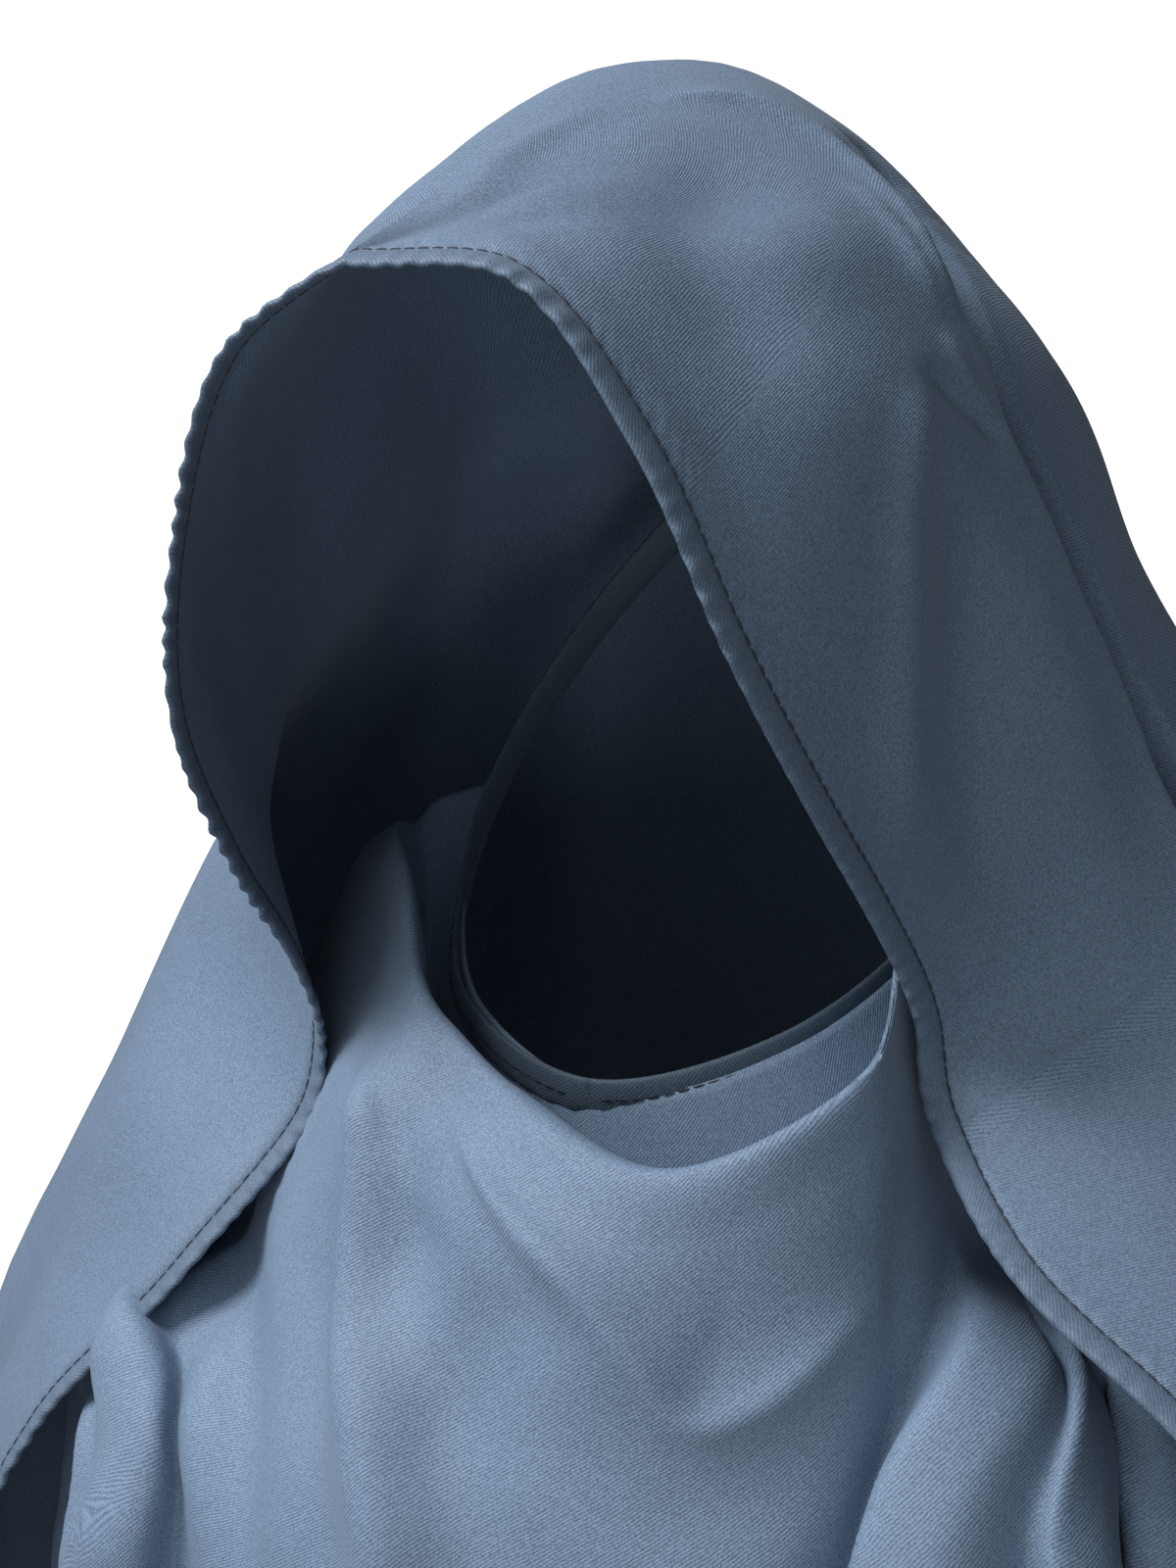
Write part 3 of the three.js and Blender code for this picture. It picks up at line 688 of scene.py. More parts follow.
def sheet_area(grid):
    """Area of one side of a sheet."""
    a, b = grid[1:, 1:] - grid[:-1, :-1], grid[1:, :-1] - grid[:-1, 1:]
    return float(np.linalg.norm(np.cross(a, b), axis=-1).sum() / 2)


print("shares, closer first:", spaced((0.2, 4), (1.0, 4)).round(2))

# %% [markdown]
# Making meshes. Cloth has two faces and an edge, so a sheet is a closed shell: the outer
# grid, the same grid moved inward by the cloth's thickness, and a wall round the rim. A
# Solidify modifier would do the same. Building it from arrays keeps the numbering
# plain, so every point can carry its flat coordinates for the weave and the hem.

# %% Mesh functions
CLOTH_THICKNESS = 0.0007


def mesh_piece(name, points, faces, material, layers):
    """A smooth mesh object from arrays; layers maps a UV name to one pair per point."""
    mesh = bpy.data.meshes.new(name)
    mesh.from_pydata(points.tolist(), [], faces)
    loops = np.empty(len(mesh.loops), dtype=np.int32)
    mesh.loops.foreach_get("vertex_index", loops)
    for layer, pairs in layers.items():
        uv = mesh.uv_layers.new(name=layer)
        uv.data.foreach_set("uv", np.asarray(pairs, dtype=np.float32)[loops].ravel())
    mesh.polygons.foreach_set("use_smooth", [True] * len(mesh.polygons))
    mesh.materials.append(material)
    mesh.update()
    piece = bpy.data.objects.new(name, mesh)
    bpy.context.scene.collection.objects.link(piece)
    return piece


def strip_faces(rows, columns, ring_rows=False, ring_columns=False):
    """Quads over a rows by columns grid, with either direction closed into a ring."""
    down = np.arange(rows if ring_rows else rows - 1)
    over = np.arange(columns if ring_columns else columns - 1)
    j, i = (a.ravel() for a in np.meshgrid(down, over, indexing="ij"))
    next_j, next_i = (j + 1) % rows, (i + 1) % columns
    return np.stack(
        [j * columns + i, next_j * columns + i, next_j * columns + next_i, j * columns + next_i], 1
    )


def shell(name, outer, material, layers):
    """A closed shell of cloth under the outer grid."""
    rows, columns = outer.shape[:2]
    inner = outer - grid_normals(outer) * CLOTH_THICKNESS
    points = np.concatenate([outer.reshape(-1, 3), inner.reshape(-1, 3)])
    skin = strip_faces(rows, columns)
    lining = skin[:, ::-1] + rows * columns
    number = np.arange(rows * columns).reshape(rows, columns)
    rim = np.concatenate([number[:-1, 0], number[-1, :-1], number[:0:-1, -1], number[0, :0:-1]])
    ahead = np.roll(rim, -1)
    wall = np.stack([rim, rim + rows * columns, ahead + rows * columns, ahead], 1)
    both = {key: np.concatenate([value.reshape(-1, 2)] * 2) for key, value in layers.items()}
    faces = np.concatenate([skin, lining, wall]).tolist()
    return mesh_piece(name, points, faces, material, both)


print("cloth", CLOTH_THICKNESS / MM, "mm thick")

# %% [markdown]
# Flat coordinates. Before it is sewn the cloth is flat, and its ribs are straight there.
# To lay the draped sheet flat again, Blender's unwrap could be used, but it keeps angles
# and lets lengths go. Here a lattice of springs, each as long as the cloth between its
# ends, is relaxed in the plane, coarse first and then finer. So the weave keeps its pitch,
# and the box round the result is the sheet's size when it is laid flat.

# %% Laying a sheet flat
SPRING_LEVELS = ((19, 21, 1500), (37, 41, 500), (73, 81, 250))  # rows, columns, turns
OVERSHOOT = 1.6  # moves a little past the mean, which settles the lattice sooner


def sampled(field, rows, columns):
    """A grid read at rows by columns evenly spread places."""
    high, wide = field.shape[:2]
    down, over = np.linspace(0, high - 1, rows), np.linspace(0, wide - 1, columns)
    j, i = np.meshgrid(down, over, indexing="ij")
    j0, i0 = np.minimum(j.astype(int), high - 2), np.minimum(i.astype(int), wide - 2)
    a, b = (j - j0)[..., None], (i - i0)[..., None]
    top = field[j0, i0] * (1 - b) + field[j0, i0 + 1] * b
    low = field[j0 + 1, i0] * (1 - b) + field[j0 + 1, i0 + 1] * b
    return top * (1 - a) + low * a


def springs(solid):
    """Neighbours in a lattice, straight and diagonal, with the length between them."""
    high, wide = solid.shape[:2]
    links = []
    for dj, di in ((0, 1), (1, 0), (1, 1), (1, -1)):
        a = (slice(0, high - dj), slice(max(0, -di), wide - max(0, di)))
        b = (slice(dj, high), slice(max(0, di), wide + min(0, di)))
        links.append((a, b, np.linalg.norm(solid[a] - solid[b], axis=-1)[..., None]))
    return links


def flattened(grid):
    """Flat coordinates of every point of a sheet, in metres."""
    rows, columns = grid.shape[:2]
    width = lengths(grid, 1)
    flat = np.stack([width - width[:, [columns // 2]], -lengths(grid, 0)], -1)
    for high, wide, turns in SPRING_LEVELS:
        flat = sampled(flat, high, wide)
        links = springs(sampled(grid, high, wide))
        for _ in range(turns):
            push, count = np.zeros_like(flat), np.zeros_like(flat)
            for a, b, rest in links:
                gap = flat[b] - flat[a]
                length = np.linalg.norm(gap, axis=-1, keepdims=True) + 1e-9
                move = gap * (0.5 * (length - rest) / length)
                push[a] += move
                push[b] -= move
                count[a] += 1
                count[b] += 1
            flat = flat + push / count * OVERSHOOT
    return sampled(flat, rows, columns)


turns_in_all = sum(turns for _, _, turns in SPRING_LEVELS)
print("turns of the lattice", turns_in_all)

# %% [markdown]
# The cape. The real one shows no seam, so it is one sheet here: fine rows over the hood
# and the fold behind it, coarser rows down the plain skirt. The first row starts just
# below the peak, because all sections meet in a point there. Its hem coordinates run
# along the two front edges and away from them, and carry the pucker creases.

# %% Cape grid
CAPE_SEED = 5
CAPE_UNEVEN = 0.0007  # metres
EVEN_EDGE = 0.05  # shares beside the front edges and the peak that stay even
EVEN_PEAK = 0.06
cape_u = spaced((0.17, 32), (0.46, 186), (1.0, 58))
cape_v = spaced((0.0015, 1), (0.12, 26), (0.34, 114), (0.46, 18), (1.0, 20))[1:]
u, v = np.meshgrid(cape_u, cape_v)
cape_grid = pressed(cape_surface(u, v), u, v, cape_surface, CAPE_LINES)
inset = smooth(np.minimum(u, 1 - u) / EVEN_EDGE) * smooth(v / EVEN_PEAK)
lift = unevenness(u, v, CAPE_SEED) * inset * CAPE_UNEVEN
cape_grid += grid_normals(cape_grid) * lift[..., None]
cape_normals = grid_normals(cape_grid)
cape_area = sheet_area(cape_grid)
print("cape grid", cape_grid.shape[:2], "area", round(cape_area, 3), "m2")

# %% Cape
RIGHT_EDGE_START = 0.5  # keeps the second edge's creases apart from the first's
across_cape = lengths(cape_grid, 1)
down_cape = lengths(cape_grid, 0)
from_hem = np.minimum(across_cape, across_cape[:, [-1]] - across_cape)
along_right = down_cape[:, [-1]] + RIGHT_EDGE_START
along_hem = np.where(u < 0.5, down_cape[:, [0]], along_right)
cape_flat = flattened(cape_grid)
cape_layers = {"cloth": cape_flat, "hem": np.stack([along_hem, from_hem], -1)}
cape = shell("cape_cloth", cape_grid, cape_crepe, cape_layers)

# %% [markdown]
# The front panel. On the real veil its upper edge is caught in the chin band. Below the
# chin the cloth rolls over into a cowl, is drawn in at both sides, and then falls in
# pleats under the cape. It could be one with the cape, but in the photo it lies under
# it, so it is a sheet of its own. Its sections go from the middle of the front to a far
# edge at each side. They are mirrored too, with the same kinds of lean and folds.

# %% Panel sections
# front: back, down. quarter, side and far: out, back, down.
PANEL_SECTIONS = [
    dict(
        at=0.0, front=(-0.4, 0.308), quarter=(0.224, -0.314, 0.293),
        side=(0.342, -0.12, 0.272), far=(0.382, 0.06, 0.244),
    ),
    dict(
        at=0.04, front=(-0.455, 0.348), quarter=(0.255, -0.37, 0.33),
        side=(0.385, -0.17, 0.29), far=(0.46, 0.03, 0.255),
    ),
    dict(
        at=0.08, front=(-0.53, 0.35), quarter=(0.262, -0.415, 0.325),
        side=(0.365, -0.22, 0.266), far=(0.49, 0.01, 0.275),
    ),
    dict(
        at=0.11, front=(-0.605, 0.308), quarter=(0.28, -0.455, 0.284),
        side=(0.36, -0.25, 0.252), far=(0.51, 0.0, 0.285),
    ),
    dict(
        at=0.15, front=(-0.65, 0.328), quarter=(0.3, -0.485, 0.308),
        side=(0.37, -0.24, 0.283), far=(0.56, 0.0, 0.295),
    ),
    dict(
        at=0.22, front=(-0.72, 0.375), quarter=(0.36, -0.53, 0.368),
        side=(0.47, -0.27, 0.355), far=(0.66, 0.0, 0.335),
    ),
    dict(
        at=0.33, front=(-0.81, 0.438), quarter=(0.54, -0.64, 0.437),
        side=(0.76, -0.3, 0.43), far=(0.84, 0.03, 0.418),
    ),
    dict(
        at=0.55, front=(-0.89, 0.575), quarter=(0.63, -0.74, 0.575),
        side=(0.9, -0.33, 0.57), far=(0.97, 0.03, 0.562),
    ),
    dict(
        at=1.0, front=(-0.98, 0.9), quarter=(0.7, -0.84, 0.903),
        side=(1.02, -0.38, 0.908), far=(1.08, 0.02, 0.915),
    ),
]
# shift: the middle's way sideways. fuller and lift: how far the -X side is out and up.
PANEL_LEAN = [
    dict(at=0.0, shift=0.03, fuller=0.0, lift=0.0),
    dict(at=0.04, shift=0.075, fuller=0.005, lift=0.005),
    dict(at=0.08, shift=0.13, fuller=0.012, lift=0.016),
    dict(at=0.11, shift=0.17, fuller=0.02, lift=0.026),
    dict(at=0.15, shift=0.15, fuller=0.06, lift=0.022),
    dict(at=0.22, shift=0.1, fuller=0.12, lift=0.008),
    dict(at=0.3, shift=0.05, fuller=0.13, lift=0.0),
    dict(at=0.4, shift=0.02, fuller=0.08, lift=0.0),
    dict(at=1.0, shift=0.0, fuller=0.0, lift=0.0),
]
print("panel sections", len(PANEL_SECTIONS), "lean rows", len(PANEL_LEAN))

# %% Panel folds
PANEL_FOLDS = [
    dict(at=0.27, drift=0.1, wide=0.03, deep=12, tip=6, start=0.14, full=0.36, end=5),
    dict(at=0.205, drift=0.09, wide=0.028, deep=-5, tip=0, start=0.15, full=0.36, end=5),
    dict(at=0.15, drift=0.09, wide=0.025, deep=8, tip=0, start=0.18, full=0.38, end=5),
    dict(at=0.1, drift=0.09, wide=0.022, deep=-9, tip=0, start=0.2, full=0.4, end=5),
    dict(at=0.79, drift=-0.14, wide=0.018, deep=7, tip=0, start=0.17, full=0.38, end=5),
    dict(at=0.825, drift=-0.14, wide=0.018, deep=-8, tip=0, start=0.17, full=0.38, end=5),
    dict(at=0.86, drift=-0.13, wide=0.018, deep=8, tip=0, start=0.17, full=0.38, end=5),
    dict(at=0.895, drift=-0.12, wide=0.018, deep=-8, tip=0, start=0.18, full=0.4, end=5),
    dict(at=0.93, drift=-0.11, wide=0.018, deep=6, tip=0, start=0.2, full=0.42, end=5),
    dict(at=0.72, drift=-0.14, wide=0.025, deep=-5, tip=0, start=0.1, full=0.18, end=0.34),
    dict(at=0.5, drift=0.0, wide=0.06, deep=-7, tip=0, start=0.3, full=0.7, end=5),
]
print("panel folds", len(PANEL_FOLDS))

# %% Panel fold lines
PANEL_LINES = [
    # The cowl's hanging curve: steep above the line, sloping outward below it.
    dict(
        path=[
            (0.636, 0.135), (0.62, 0.14), (0.572, 0.15), (0.513, 0.167), (0.468, 0.194),
            (0.43, 0.224), (0.4, 0.221), (0.345, 0.202), (0.28, 0.197),
        ],
        crease=True, deep=-8, wide=13, rise=0.15, fall=0.3,
    ),
    dict(
        path=[(0.65, 0.13), (0.62, 0.14), (0.572, 0.15), (0.525, 0.163), (0.48, 0.187)],
        crease=True, deep=-4.5, wide=6, rise=0.2, fall=0.4,
    ),
    # The hollow below the left shoulder and the ridge beside it.
    dict(
        path=[
            (0.72, 0.135), (0.685, 0.15), (0.655, 0.17), (0.63, 0.2), (0.6, 0.23),
            (0.568, 0.265), (0.542, 0.31), (0.52, 0.42),
        ],
        deep=-15, wide=13, rise=0.15, fall=0.35,
    ),
    dict(
        path=[
            (0.89, 0.205), (0.84, 0.235), (0.775, 0.245), (0.719, 0.252), (0.662, 0.276),
            (0.62, 0.33), (0.6, 0.42),
        ],
        deep=8, wide=12, rise=0.3, fall=0.35,
    ),
    dict(
        path=[(0.682, 0.146), (0.64, 0.16), (0.6, 0.172), (0.575, 0.18)],
        crease=True, deep=-3, wide=4, rise=0.2, fall=0.5,
    ),
    # Pleats on the wearer's left, each overlapping the next.
    dict(
        path=[
            (0.195, 0.2), (0.222, 0.212), (0.27, 0.23), (0.318, 0.257), (0.347, 0.29),
            (0.365, 0.36), (0.37, 0.6),
        ],
        tuck=True, deep=-18, wide=44, tip=5, behind=-1, rise=0.2, fall=0.3,
    ),
    dict(
        path=[(0.12, 0.21), (0.143, 0.225), (0.191, 0.251), (0.255, 0.277), (0.285, 0.31), (0.3, 0.5)],
        tuck=True, deep=-13, wide=30, tip=7, behind=-1, rise=0.15, fall=0.3,
    ),
    dict(
        path=[(0.12, 0.25), (0.141, 0.259), (0.172, 0.277), (0.2, 0.3), (0.225, 0.34), (0.235, 0.5)],
        tuck=True, deep=-13, wide=28, tip=7, behind=-1, rise=0.15, fall=0.3,
    ),
    # Pleats on the wearer's right.
    dict(
        path=[(0.95, 0.25), (0.9, 0.268), (0.82, 0.275), (0.72, 0.287), (0.674, 0.325), (0.65, 0.5)],
        tuck=True, deep=-12, wide=26, tip=6, behind=1, rise=0.15, fall=0.3,
    ),
    dict(
        path=[(0.94, 0.295), (0.85, 0.302), (0.76, 0.31), (0.71, 0.335), (0.69, 0.4), (0.68, 0.5)],
        tuck=True, deep=-10, wide=24, tip=5, behind=1, rise=0.15, fall=0.3,
    ),
]
print("panel fold lines", len(PANEL_LINES))

# %% Panel without folds
PANEL_KNOTS = [0, 0.16, 0.32, 0.5, 0.68, 0.84, 1]  # u of far, side, quarter, front, ...


def panel_base(u, v):
    """The front panel without folds, from its +X far edge across the front."""
    front, quarter, side, far = (
        read(PANEL_SECTIONS, key, v) for key in ("front", "quarter", "side", "far")
    )
    lean, fuller, lift = (read(PANEL_LEAN, key, v)[..., 0] for key in ("shift", "fuller", "lift"))
    points = [xyz(p[..., 0], p[..., 1], p[..., 2]) for p in (far, side, quarter)]
    points.append(xyz(0 * u, front[..., 0], front[..., 1]))
    for p, much, high in ((quarter, 0.5, 0), (side, 1, 0.1), (far, 0.4, 1)):
        x, y = -p[..., 0] - fuller * much, p[..., 1] - fuller * much / 3
        points.append(xyz(x, y, p[..., 2] - lift * high))
    middle = 1 - smooth(np.abs(u - 0.5) / 0.45)
    curve = through(PANEL_KNOTS, points, u)
    return scaled(curve + xyz(lean * middle, 0, 0))


def panel_surface(u, v):
    """The panel with its hanging folds."""
    return folded(panel_base, PANEL_FOLDS, u, v)


chin = panel_surface(np.array([0.5]), np.array([0.0]))[0]
print("middle of the panel's upper edge at", chin.round(3))

# %% Front panel
PANEL_SEED = 8
PANEL_UNEVEN = 0.0006  # metres
EVEN_TOP = 0.05  # share below the chin band that stays even
panel_u = spaced((0.42, 140), (0.86, 110), (1.0, 24))
panel_v = spaced((0.13, 40), (0.42, 98), (1.0, 30))
u, v = np.meshgrid(panel_u, panel_v)
panel_grid = pressed(panel_surface(u, v), u, v, panel_surface, PANEL_LINES, passes=2)
lift = unevenness(u, v, PANEL_SEED) * smooth(v / EVEN_TOP) * PANEL_UNEVEN
panel_grid += grid_normals(panel_grid) * lift[..., None]
panel_normals = grid_normals(panel_grid)
panel_area = sheet_area(panel_grid)
panel_flat = flattened(panel_grid)
panel = shell("front_panel_cloth", panel_grid, panel_crepe, {"cloth": panel_flat})
print("panel", len(panel.data.polygons) * 2, "triangles, area", round(panel_area, 3), "m2")

# %% [markdown]
# The hems. A hem is the cloth's own edge, turned under twice and stitched down. It could
# be folded in the sheet itself, which would need far finer rows everywhere. So it is a
# flat tube swept beside the sheet: flush at the stitches, rounded at the fold, and drawn
# into small ripples by the thread. First, even frames along an edge are needed, which
# say at each step where the sheet lies, which way leads off it, and which way is out.

# %% Frames along an edge
EDGE_STEP = 0.0012
EDGE_SOFTEN = 0.012  # metres over which the frames are evened out


def resample(line, step, extra):
    """A polyline with even steps; extra holds arrays that go with its points."""
    walked = lengths(line, 0)
    count = max(2, int(round(walked[-1] / step)))
    at = np.linspace(0, walked[-1], count + 1)
    pick = lambda field: np.stack([np.interp(at, walked, field[:, k]) for k in range(3)], 1)
    return at, pick(line), [pick(field) for field in extra]


def edge_lines(points, normals, inside):
    """Even frames along an edge: distance, point, way off the sheet, outward normal."""
    at, line, (out, into) = resample(points, EDGE_STEP, [normals, inside])
    reach = int(EDGE_SOFTEN / EDGE_STEP)
    weights = np.hanning(2 * reach + 1)
    weights /= weights.sum()

    def soft(field):
        wide = np.concatenate([[field[0]] * reach, field, [field[-1]] * reach])
        return np.stack([np.convolve(wide[:, k], weights, "valid") for k in range(3)], 1)

    out = unit(soft(out))
    along = unit(soft(np.gradient(line, axis=0)))
    away = unit(np.cross(along, out))
    away *= np.where(np.sum(away * (into - line), 1) > 0, -1, 1)[:, None]
    out = unit(np.cross(away, along) * np.sign(np.sum(np.cross(away, along) * out, 1))[:, None])
    return at, line, away, out


print("steps of", EDGE_STEP / MM, "mm along an edge")

# %% Turned hem
RIPPLE_KNOT = 0.015  # metres between changes in the ripples
RIPPLE_STRAY = 2.2  # radians
RIPPLE_SEED = 3
HEM_PROFILE = [  # round the hem: share of its width off the sheet, share of its thickness
    (-0.06, 0.05), (0.04, 0.22), (0.16, 0.34), (0.4, 0.46), (0.7, 0.46), (0.9, 0.34),
    (1.0, 0.0), (0.9, -0.36), (0.6, -0.5), (0.25, -0.5), (0.0, -0.42), (-0.06, -0.2),
]


def hem_piece(name, frames, width, thick, material, pucker, ring=False):
    """A turned hem along frames; pucker is the height of its ripples at the fold."""
    at, line, away, out = frames
    rng = np.random.default_rng(RIPPLE_SEED)
    knots = max(8, int(at[-1] / RIPPLE_KNOT))
    drift = np.interp(at, np.linspace(0, at[-1], knots), rng.uniform(-1, 1, knots))
    strength = np.interp(at, np.linspace(0, at[-1], knots), rng.uniform(0, 1, knots))
    wave = np.sin(2 * math.pi * at / PUCKER_PITCH + RIPPLE_STRAY * drift) * strength
    rows = []
    for off, rise in HEM_PROFILE:
        grow = max(0.0, off)
        side = off * width + wave * pucker * 0.5 * grow
        height = rise * thick + wave * pucker * grow
        rows.append(line + away * side[:, None] + out * height[:, None])
    rows = np.stack(rows)
    count = len(line)
    girth = np.array([p[0] for p in HEM_PROFILE]) * width
    cloth = np.stack(np.broadcast_arrays(at[None, :], girth[:, None]), -1).reshape(-1, 2)
    faces = strip_faces(len(HEM_PROFILE), count, ring_rows=True, ring_columns=ring).tolist()
    if not ring:
        first = [k * count for k in range(len(HEM_PROFILE))]
        faces += [first[::-1], [k + count - 1 for k in first]]
    return mesh_piece(name, rows.reshape(-1, 3), faces, material, {"cloth": cloth})


print("points round a hem", len(HEM_PROFILE))

# %% [markdown]
# Stitches. On the cloth each one is a short float of navy thread that dips in at both
# ends. A dashed line in the material would lie flat and vanish from the side. So one
# small bar, thick in the middle, is copied along the frames and joined into one mesh.

# %% Stitches
STITCH_PITCH = 0.0039  # metres, as are the next two
STITCH_LENGTH = 0.0032
STITCH_WIDE = 0.0005
STITCH_SIDES = 6
# share of the half length, share of the width
STITCH_RINGS = [(-1.0, 0.35), (-0.7, 0.9), (0.0, 1.0), (0.7, 0.9), (1.0, 0.35)]


def stitches(name, frames, off, rise):
    """A row of raised stitches at a distance off the sheet's edge, joined in one piece."""
    at, line, away, out = frames
    along = unit(np.gradient(line, axis=0))
    turns = np.linspace(0, 2 * math.pi, STITCH_SIDES, endpoint=False)
    bar = np.array(
        [
            (share, math.cos(turn) * size, math.sin(turn) * size)
            for share, size in STITCH_RINGS
            for turn in turns
        ]
    )
    centres = np.arange(STITCH_PITCH, at[-1] - STITCH_PITCH, STITCH_PITCH)

    def pick(field):
        return np.stack([np.interp(centres, at, field[:, k]) for k in range(3)], 1)

    run, aside, lift = unit(pick(along)), unit(pick(away)), unit(pick(out))
    place = pick(line) + aside * off + lift * rise
    bend = 1 - bar[:, 0] ** 2 * 0.5
    points = (
        place[:, None]
        + run[:, None] * (bar[:, 0] * STITCH_LENGTH / 2)[None, :, None]
        + aside[:, None] * (bar[:, 1] * STITCH_WIDE / 2)[None, :, None]
        + lift[:, None] * ((bar[:, 2] * 0.8 + bend) * STITCH_WIDE / 2)[None, :, None]
    )
    cell = strip_faces(len(STITCH_RINGS), STITCH_SIDES, ring_columns=True).tolist()
    last_ring = len(bar) - STITCH_SIDES
    cell += [list(range(STITCH_SIDES))[::-1], [last_ring + k for k in range(STITCH_SIDES)]]
    faces = [[k + len(bar) * n for k in face] for n in range(len(centres)) for face in cell]
    flat = np.tile(bar[:, :2] * STITCH_LENGTH, (len(centres), 1))
    return mesh_piece(name, points.reshape(-1, 3), faces, thread, {"cloth": flat})


print("a stitch every", STITCH_PITCH / MM, "mm")

# %% [markdown]
# The face hem. It runs up one front edge of the cape, over the forehead and down the
# other edge, in one length, and shows most of all seams. Its stitches are seen on both
# faces, because the front edges turn outward and show the inside, so a second row
# lies under the cloth.

# %% Face hem and its stitches
HEM_WIDTH = 0.0066  # metres
HEM_THICK = 0.0022
SEAM_OFF = -0.0002  # the topstitches lie just inside the hem's seam
SEAM_RISE = 0.0004
UNDER_RISE = -0.0013  # below the outer face, so under the cloth
edge_points = np.concatenate([cape_grid[::-1, 0], cape_grid[1:, -1]])
edge_normals = np.concatenate([cape_normals[::-1, 0], cape_normals[1:, -1]])
edge_inside = np.concatenate([cape_grid[::-1, 3], cape_grid[1:, -4]])
hem_frames = edge_lines(edge_points, edge_normals, edge_inside)
cape_hem = hem_piece("face_hem", hem_frames, HEM_WIDTH, HEM_THICK, hem_crepe, pucker=0.0008)
cape_stitches = stitches("face_hem_stitches", hem_frames, SEAM_OFF, SEAM_RISE)
under_stitches = stitches("face_hem_understitches", hem_frames, 0.0, UNDER_RISE)
print("face hem", round(hem_frames[0][-1], 3), "m long")

# %% [markdown]
# The lower hems. They lie below the photo's edge, so they are finished plainly: the same
# turned hem, twice as wide, as the lower edge of such a veil usually has.

# %% Lower hems and their stitches
LOWER_HEM_WIDTH = 0.014
LOWER_HEM_THICK = 0.002
LOWER_PUCKER = 0.0005
lower_size = (LOWER_HEM_WIDTH, LOWER_HEM_THICK, hem_crepe, LOWER_PUCKER)
lower_frames = edge_lines(cape_grid[-1], cape_normals[-1], cape_grid[-3])
lower_hem = hem_piece("cape_lower_hem", lower_frames, *lower_size)
lower_stitches = stitches("cape_lower_stitches", lower_frames, SEAM_OFF, SEAM_RISE)
panel_frames = edge_lines(panel_grid[-1], panel_normals[-1], panel_grid[-3])
panel_hem = hem_piece("panel_lower_hem", panel_frames, *lower_size)
panel_stitches = stitches("panel_lower_stitches", panel_frames, SEAM_OFF, SEAM_RISE)
print("lower hems", round(lower_frames[0][-1], 3), round(panel_frames[0][-1], 3), "m long")

# %% [markdown]
# The chin band. A folded strip of the same crepe with one stitch line, sewn into a loop.
# It holds the panel snug under the chin and closes behind the head, under the cape. A
# bevelled curve could draw it. The same hem profile swept round a closed loop gives it
# the same folded edge as the hems, with the rows of points already in order.

# %% Chin band path
BAND_STEP = 0.0015
BAND_KNOT_STEPS = 40  # points from one knot of the path to the next
# out, back, down, from the middle of the front round the +X side to the back
BAND_PATH = [
    (0.0, -0.41, 0.304),
    (0.225, -0.325, 0.29),
    (0.34, -0.13, 0.268),
    (0.38, 0.06, 0.238),
    (0.31, 0.24, 0.19),
    (0.14, 0.37, 0.137),
    (0.0, 0.463, 0.1),
]


def ring_curve(path):
    """A closed Catmull-Rom loop through mirrored path points, at even steps."""
    near = [scaled(np.array(p)) for p in path]
    far = [scaled(np.array([-p[0], p[1], p[2]])) for p in path[1:-1]][::-1]
    knots = np.array(near + far)
    count = len(knots)
    gaps = np.linalg.norm(np.roll(knots, -1, 0) - knots, axis=1) ** 0.5
    dense = []
    for k in range(count):
        a, b, c, d = (knots[(k + n) % count] for n in (-1, 0, 1, 2))
        g0, g1, g2 = gaps[k - 1], gaps[k], gaps[(k + 1) % count]
        leave = ((b - a) / g0 - (c - a) / (g0 + g1) + (c - b) / g1) * g1
        arrive = ((c - b) / g1 - (d - b) / (g1 + g2) + (d - c) / g2) * g1
        for t in np.linspace(0, 1, BAND_KNOT_STEPS, endpoint=False):
            dense.append(
                (2 * t**3 - 3 * t**2 + 1) * b
                + (t**3 - 2 * t**2 + t) * leave
                + (3 * t**2 - 2 * t**3) * c
                + (t**3 - t**2) * arrive
            )
    dense = np.array(dense + [dense[0]])
    return resample(dense, BAND_STEP, [])[1][:-1]


band_line = ring_curve(BAND_PATH)
print("points round the band", len(band_line))

# %% Chin band
BAND_WIDTH = 0.01
BAND_THICK = 0.0024
BAND_STITCH_OFF = 0.0042  # from the band's upper edge
BAND_STITCH_RISE = 0.0012
ahead, behind = np.roll(band_line, -1, 0), np.roll(band_line, 1, 0)
band_along = unit(ahead - behind)
spoke = (band_line - band_line.mean(0)) * [1, 1, 0.15]
band_away = unit(np.cross(band_along, spoke))
band_out = unit(np.cross(band_away, band_along))
band_out *= np.sign(np.sum(band_out * spoke, 1))[:, None]
band_at = np.arange(len(band_line)) * float(np.linalg.norm(band_line[1] - band_line[0]))
band_frames = (band_at, band_line, band_away, band_out)
band = hem_piece(
    "chin_band_cloth", band_frames, BAND_WIDTH, BAND_THICK, band_crepe, pucker=0.0003, ring=True
)
band_stitches = stitches("chin_band_stitches", band_frames, BAND_STITCH_OFF, BAND_STITCH_RISE)
print("chin band", round(band_at[-1], 3), "m round")

# %% [markdown]
# What stands for which solid. Nothing on the veil moves as a hard piece, so every piece
# rides on the root. Each piece that stands for a solid hides that solid. A row of
# stitches replaces no solid.

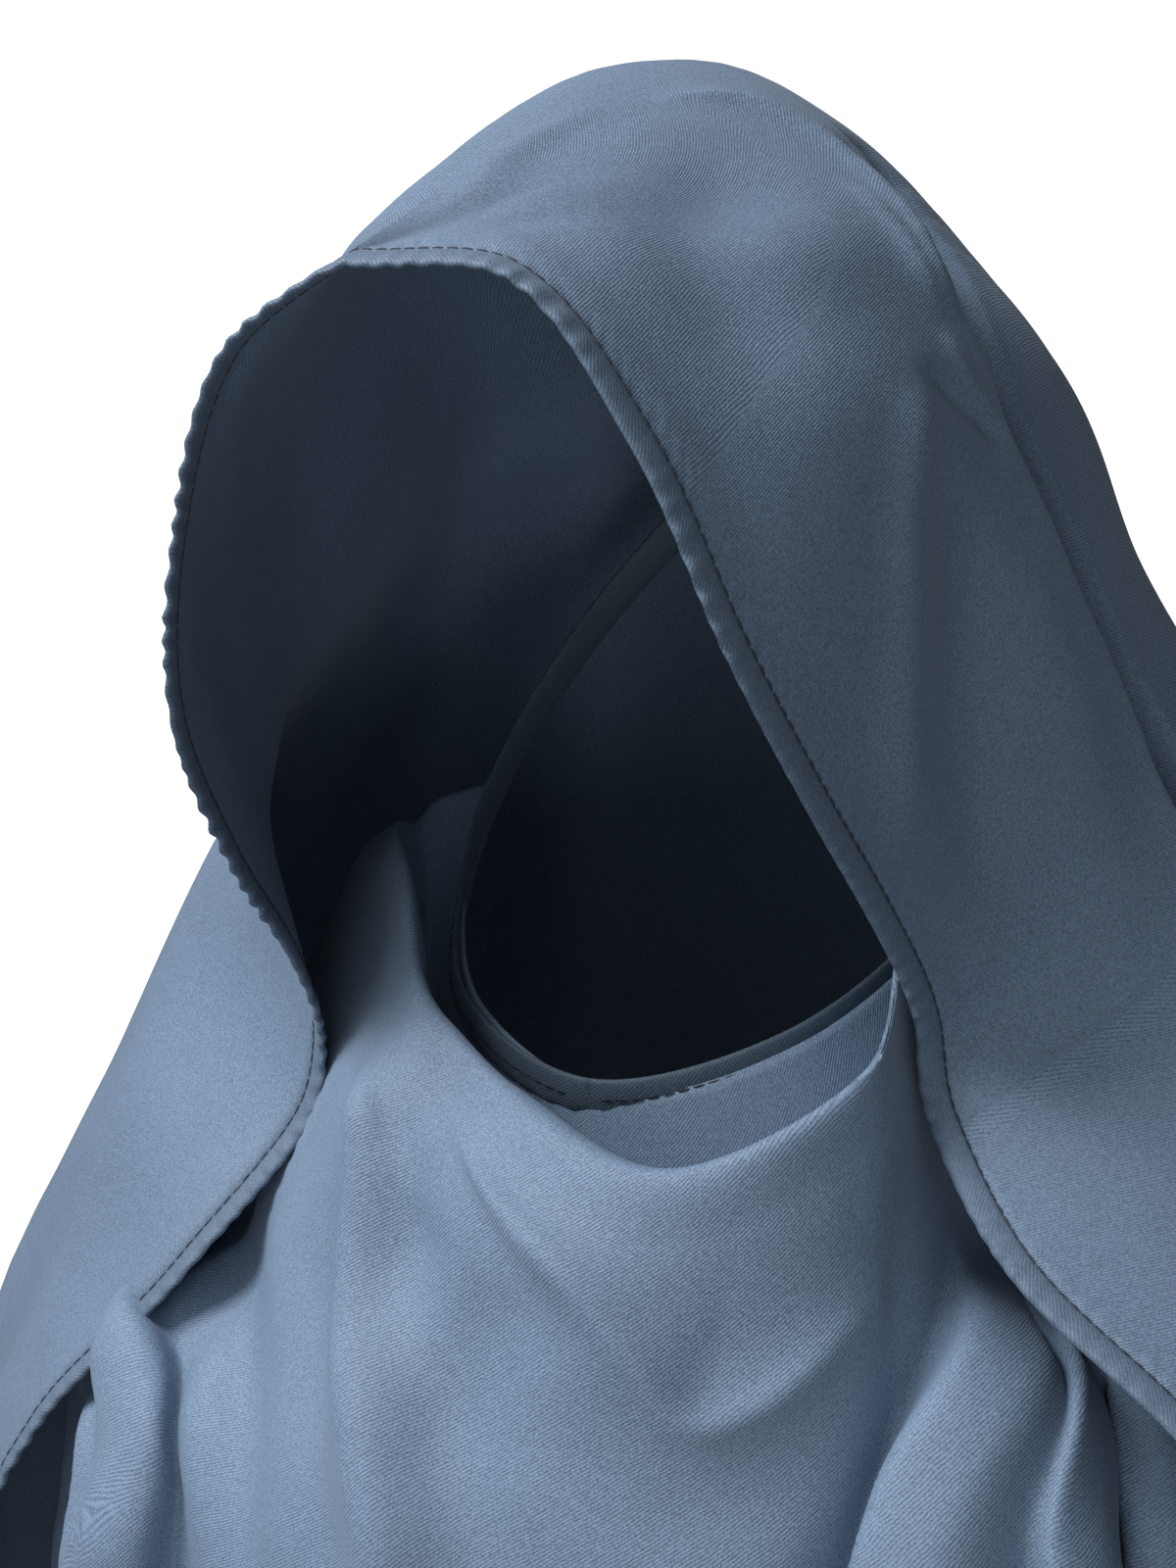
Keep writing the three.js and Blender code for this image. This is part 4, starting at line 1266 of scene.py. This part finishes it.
# %% Pieces
rides = {
    cape: ("cape_crepe", "cape"),
    panel: ("panel_crepe", "front_panel"),
    cape_hem: ("hem_crepe", "cape_hem"),
    cape_stitches: ("hem_crepe", None),
    under_stitches: ("hem_crepe", None),
    lower_hem: ("hem_crepe", "cape_bottom_hem"),
    lower_stitches: ("hem_crepe", None),
    panel_hem: ("hem_crepe", "panel_bottom_hem"),
    panel_stitches: ("hem_crepe", None),
    band: ("band_crepe", "chin_band"),
    band_stitches: ("band_crepe", None),
}
for piece, (slot, solid) in rides.items():
    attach(piece, "root")
    if solid:
        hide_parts(solid)
print("pieces", len(rides))

# %% [markdown]
# Studio. The veil is shown against pure white, lit from above and from the wearer's right
# front, which is to the left of the camera. A wide sheet of paper lies under the veil.
# It and the surround are white to the camera alone. To the cloth the paper is grey, and
# the surround is bright only on the key's side, because an even white surround would fill
# the folds with light.

# %% Floor
FLOOR_Z = -0.95
FLOOR_HALF = 40  # metres
PAPER_GREY = (0.2, 0.2, 0.2, 1)
PAPER_WHITE = (0.9, 0.9, 0.9, 1)
floor_mesh = bpy.data.meshes.new("floor")
corners = [(x * FLOOR_HALF, y * FLOOR_HALF, FLOOR_Z) for x, y in ((-1, -1), (1, -1), (1, 1), (-1, 1))]
floor_mesh.from_pydata(corners, [], [(0, 1, 2, 3)])
paper = bpy.data.materials.new("paper")
paper.use_nodes = True
tree = paper.node_tree
tree.nodes.clear()
seen = node(tree, "ShaderNodeLightPath", {})  # 1 for what the camera sees directly
tone = mix_colour(tree, seen, PAPER_GREY, PAPER_WHITE)
matt = node(
    tree, "ShaderNodeBsdfPrincipled", {},
    Base_Color=tone, Roughness=0.9, Emission_Color=(1, 1, 1, 1), Emission_Strength=seen,
)
node(tree, "ShaderNodeOutputMaterial", {}, matt)
floor_mesh.materials.append(paper)
floor = bpy.data.objects.new("floor", floor_mesh)
bpy.context.scene.collection.objects.link(floor)
print("floor at", FLOOR_Z)

# %% Surround
AMBIENT = 0.8  # brightness on the bright side
SHADE = 0.045  # and on the dark side
AMBIENT_FROM = (-0.48, -0.5, 0.72)
WHITE = 1.15  # what the camera sees
world = bpy.data.worlds.new("surround")
world.use_nodes = True
tree = world.node_tree
seen = node(tree, "ShaderNodeLightPath", {})  # 1 for what the camera sees directly
ray = node(tree, "ShaderNodeTexCoord", {}, output=0)
lean = node(tree, "ShaderNodeVectorMath", {"operation": "DOT_PRODUCT"}, ray, AMBIENT_FROM, output=1)
surround = SHADE + lean.fade(-0.1, 1.0) * (AMBIENT - SHADE)
strength = surround + seen * (WHITE - surround)
tree.links.new(strength.socket, tree.nodes["Background"].inputs["Strength"])
tree.nodes["Background"].inputs["Color"].default_value = (1, 1, 1, 1)
bpy.context.scene.world = world
bpy.context.scene.view_settings.view_transform = "Standard"
print("surround", SHADE, "to", AMBIENT)

# %% [markdown]
# The lamps. A large square key above and to the left of the camera gives the long soft
# shading over the crown and its shadow behind the folds. A weak low fill in front keeps
# the pleats of the panel from going black. Area lights are used because their size sets
# how soft the shadows are.

# %% Lamps
KEY_FROM = Vector((-0.5, -0.43, 0.75))
KEY_AWAY = 1.45
KEY_AIM = (0, -0.1, -0.15)
FILL_FROM = (0.6, -1.2, -0.6)
FILL_AIM = (0.05, -0.1, -0.45)


def soft_light(name, place, aim, size, power):
    """A square area light at place, facing aim."""
    lamp = bpy.data.lights.new(name, "AREA")
    lamp.size = size
    lamp.energy = power
    holder = bpy.data.objects.new(name, lamp)
    bpy.context.scene.collection.objects.link(holder)
    holder.location = place
    holder.rotation_mode = "QUATERNION"
    holder.rotation_quaternion = (Vector(aim) - Vector(place)).to_track_quat("-Z", "Y")
    return holder


key = soft_light("key", KEY_FROM * KEY_AWAY, KEY_AIM, size=0.65, power=34)
fill = soft_light("fill", FILL_FROM, FILL_AIM, size=0.7, power=4.5)
print("lamps", key.name, fill.name)

# %% [markdown]
# Sizes. The finished cloth should fill the same box as the solids it stands for.
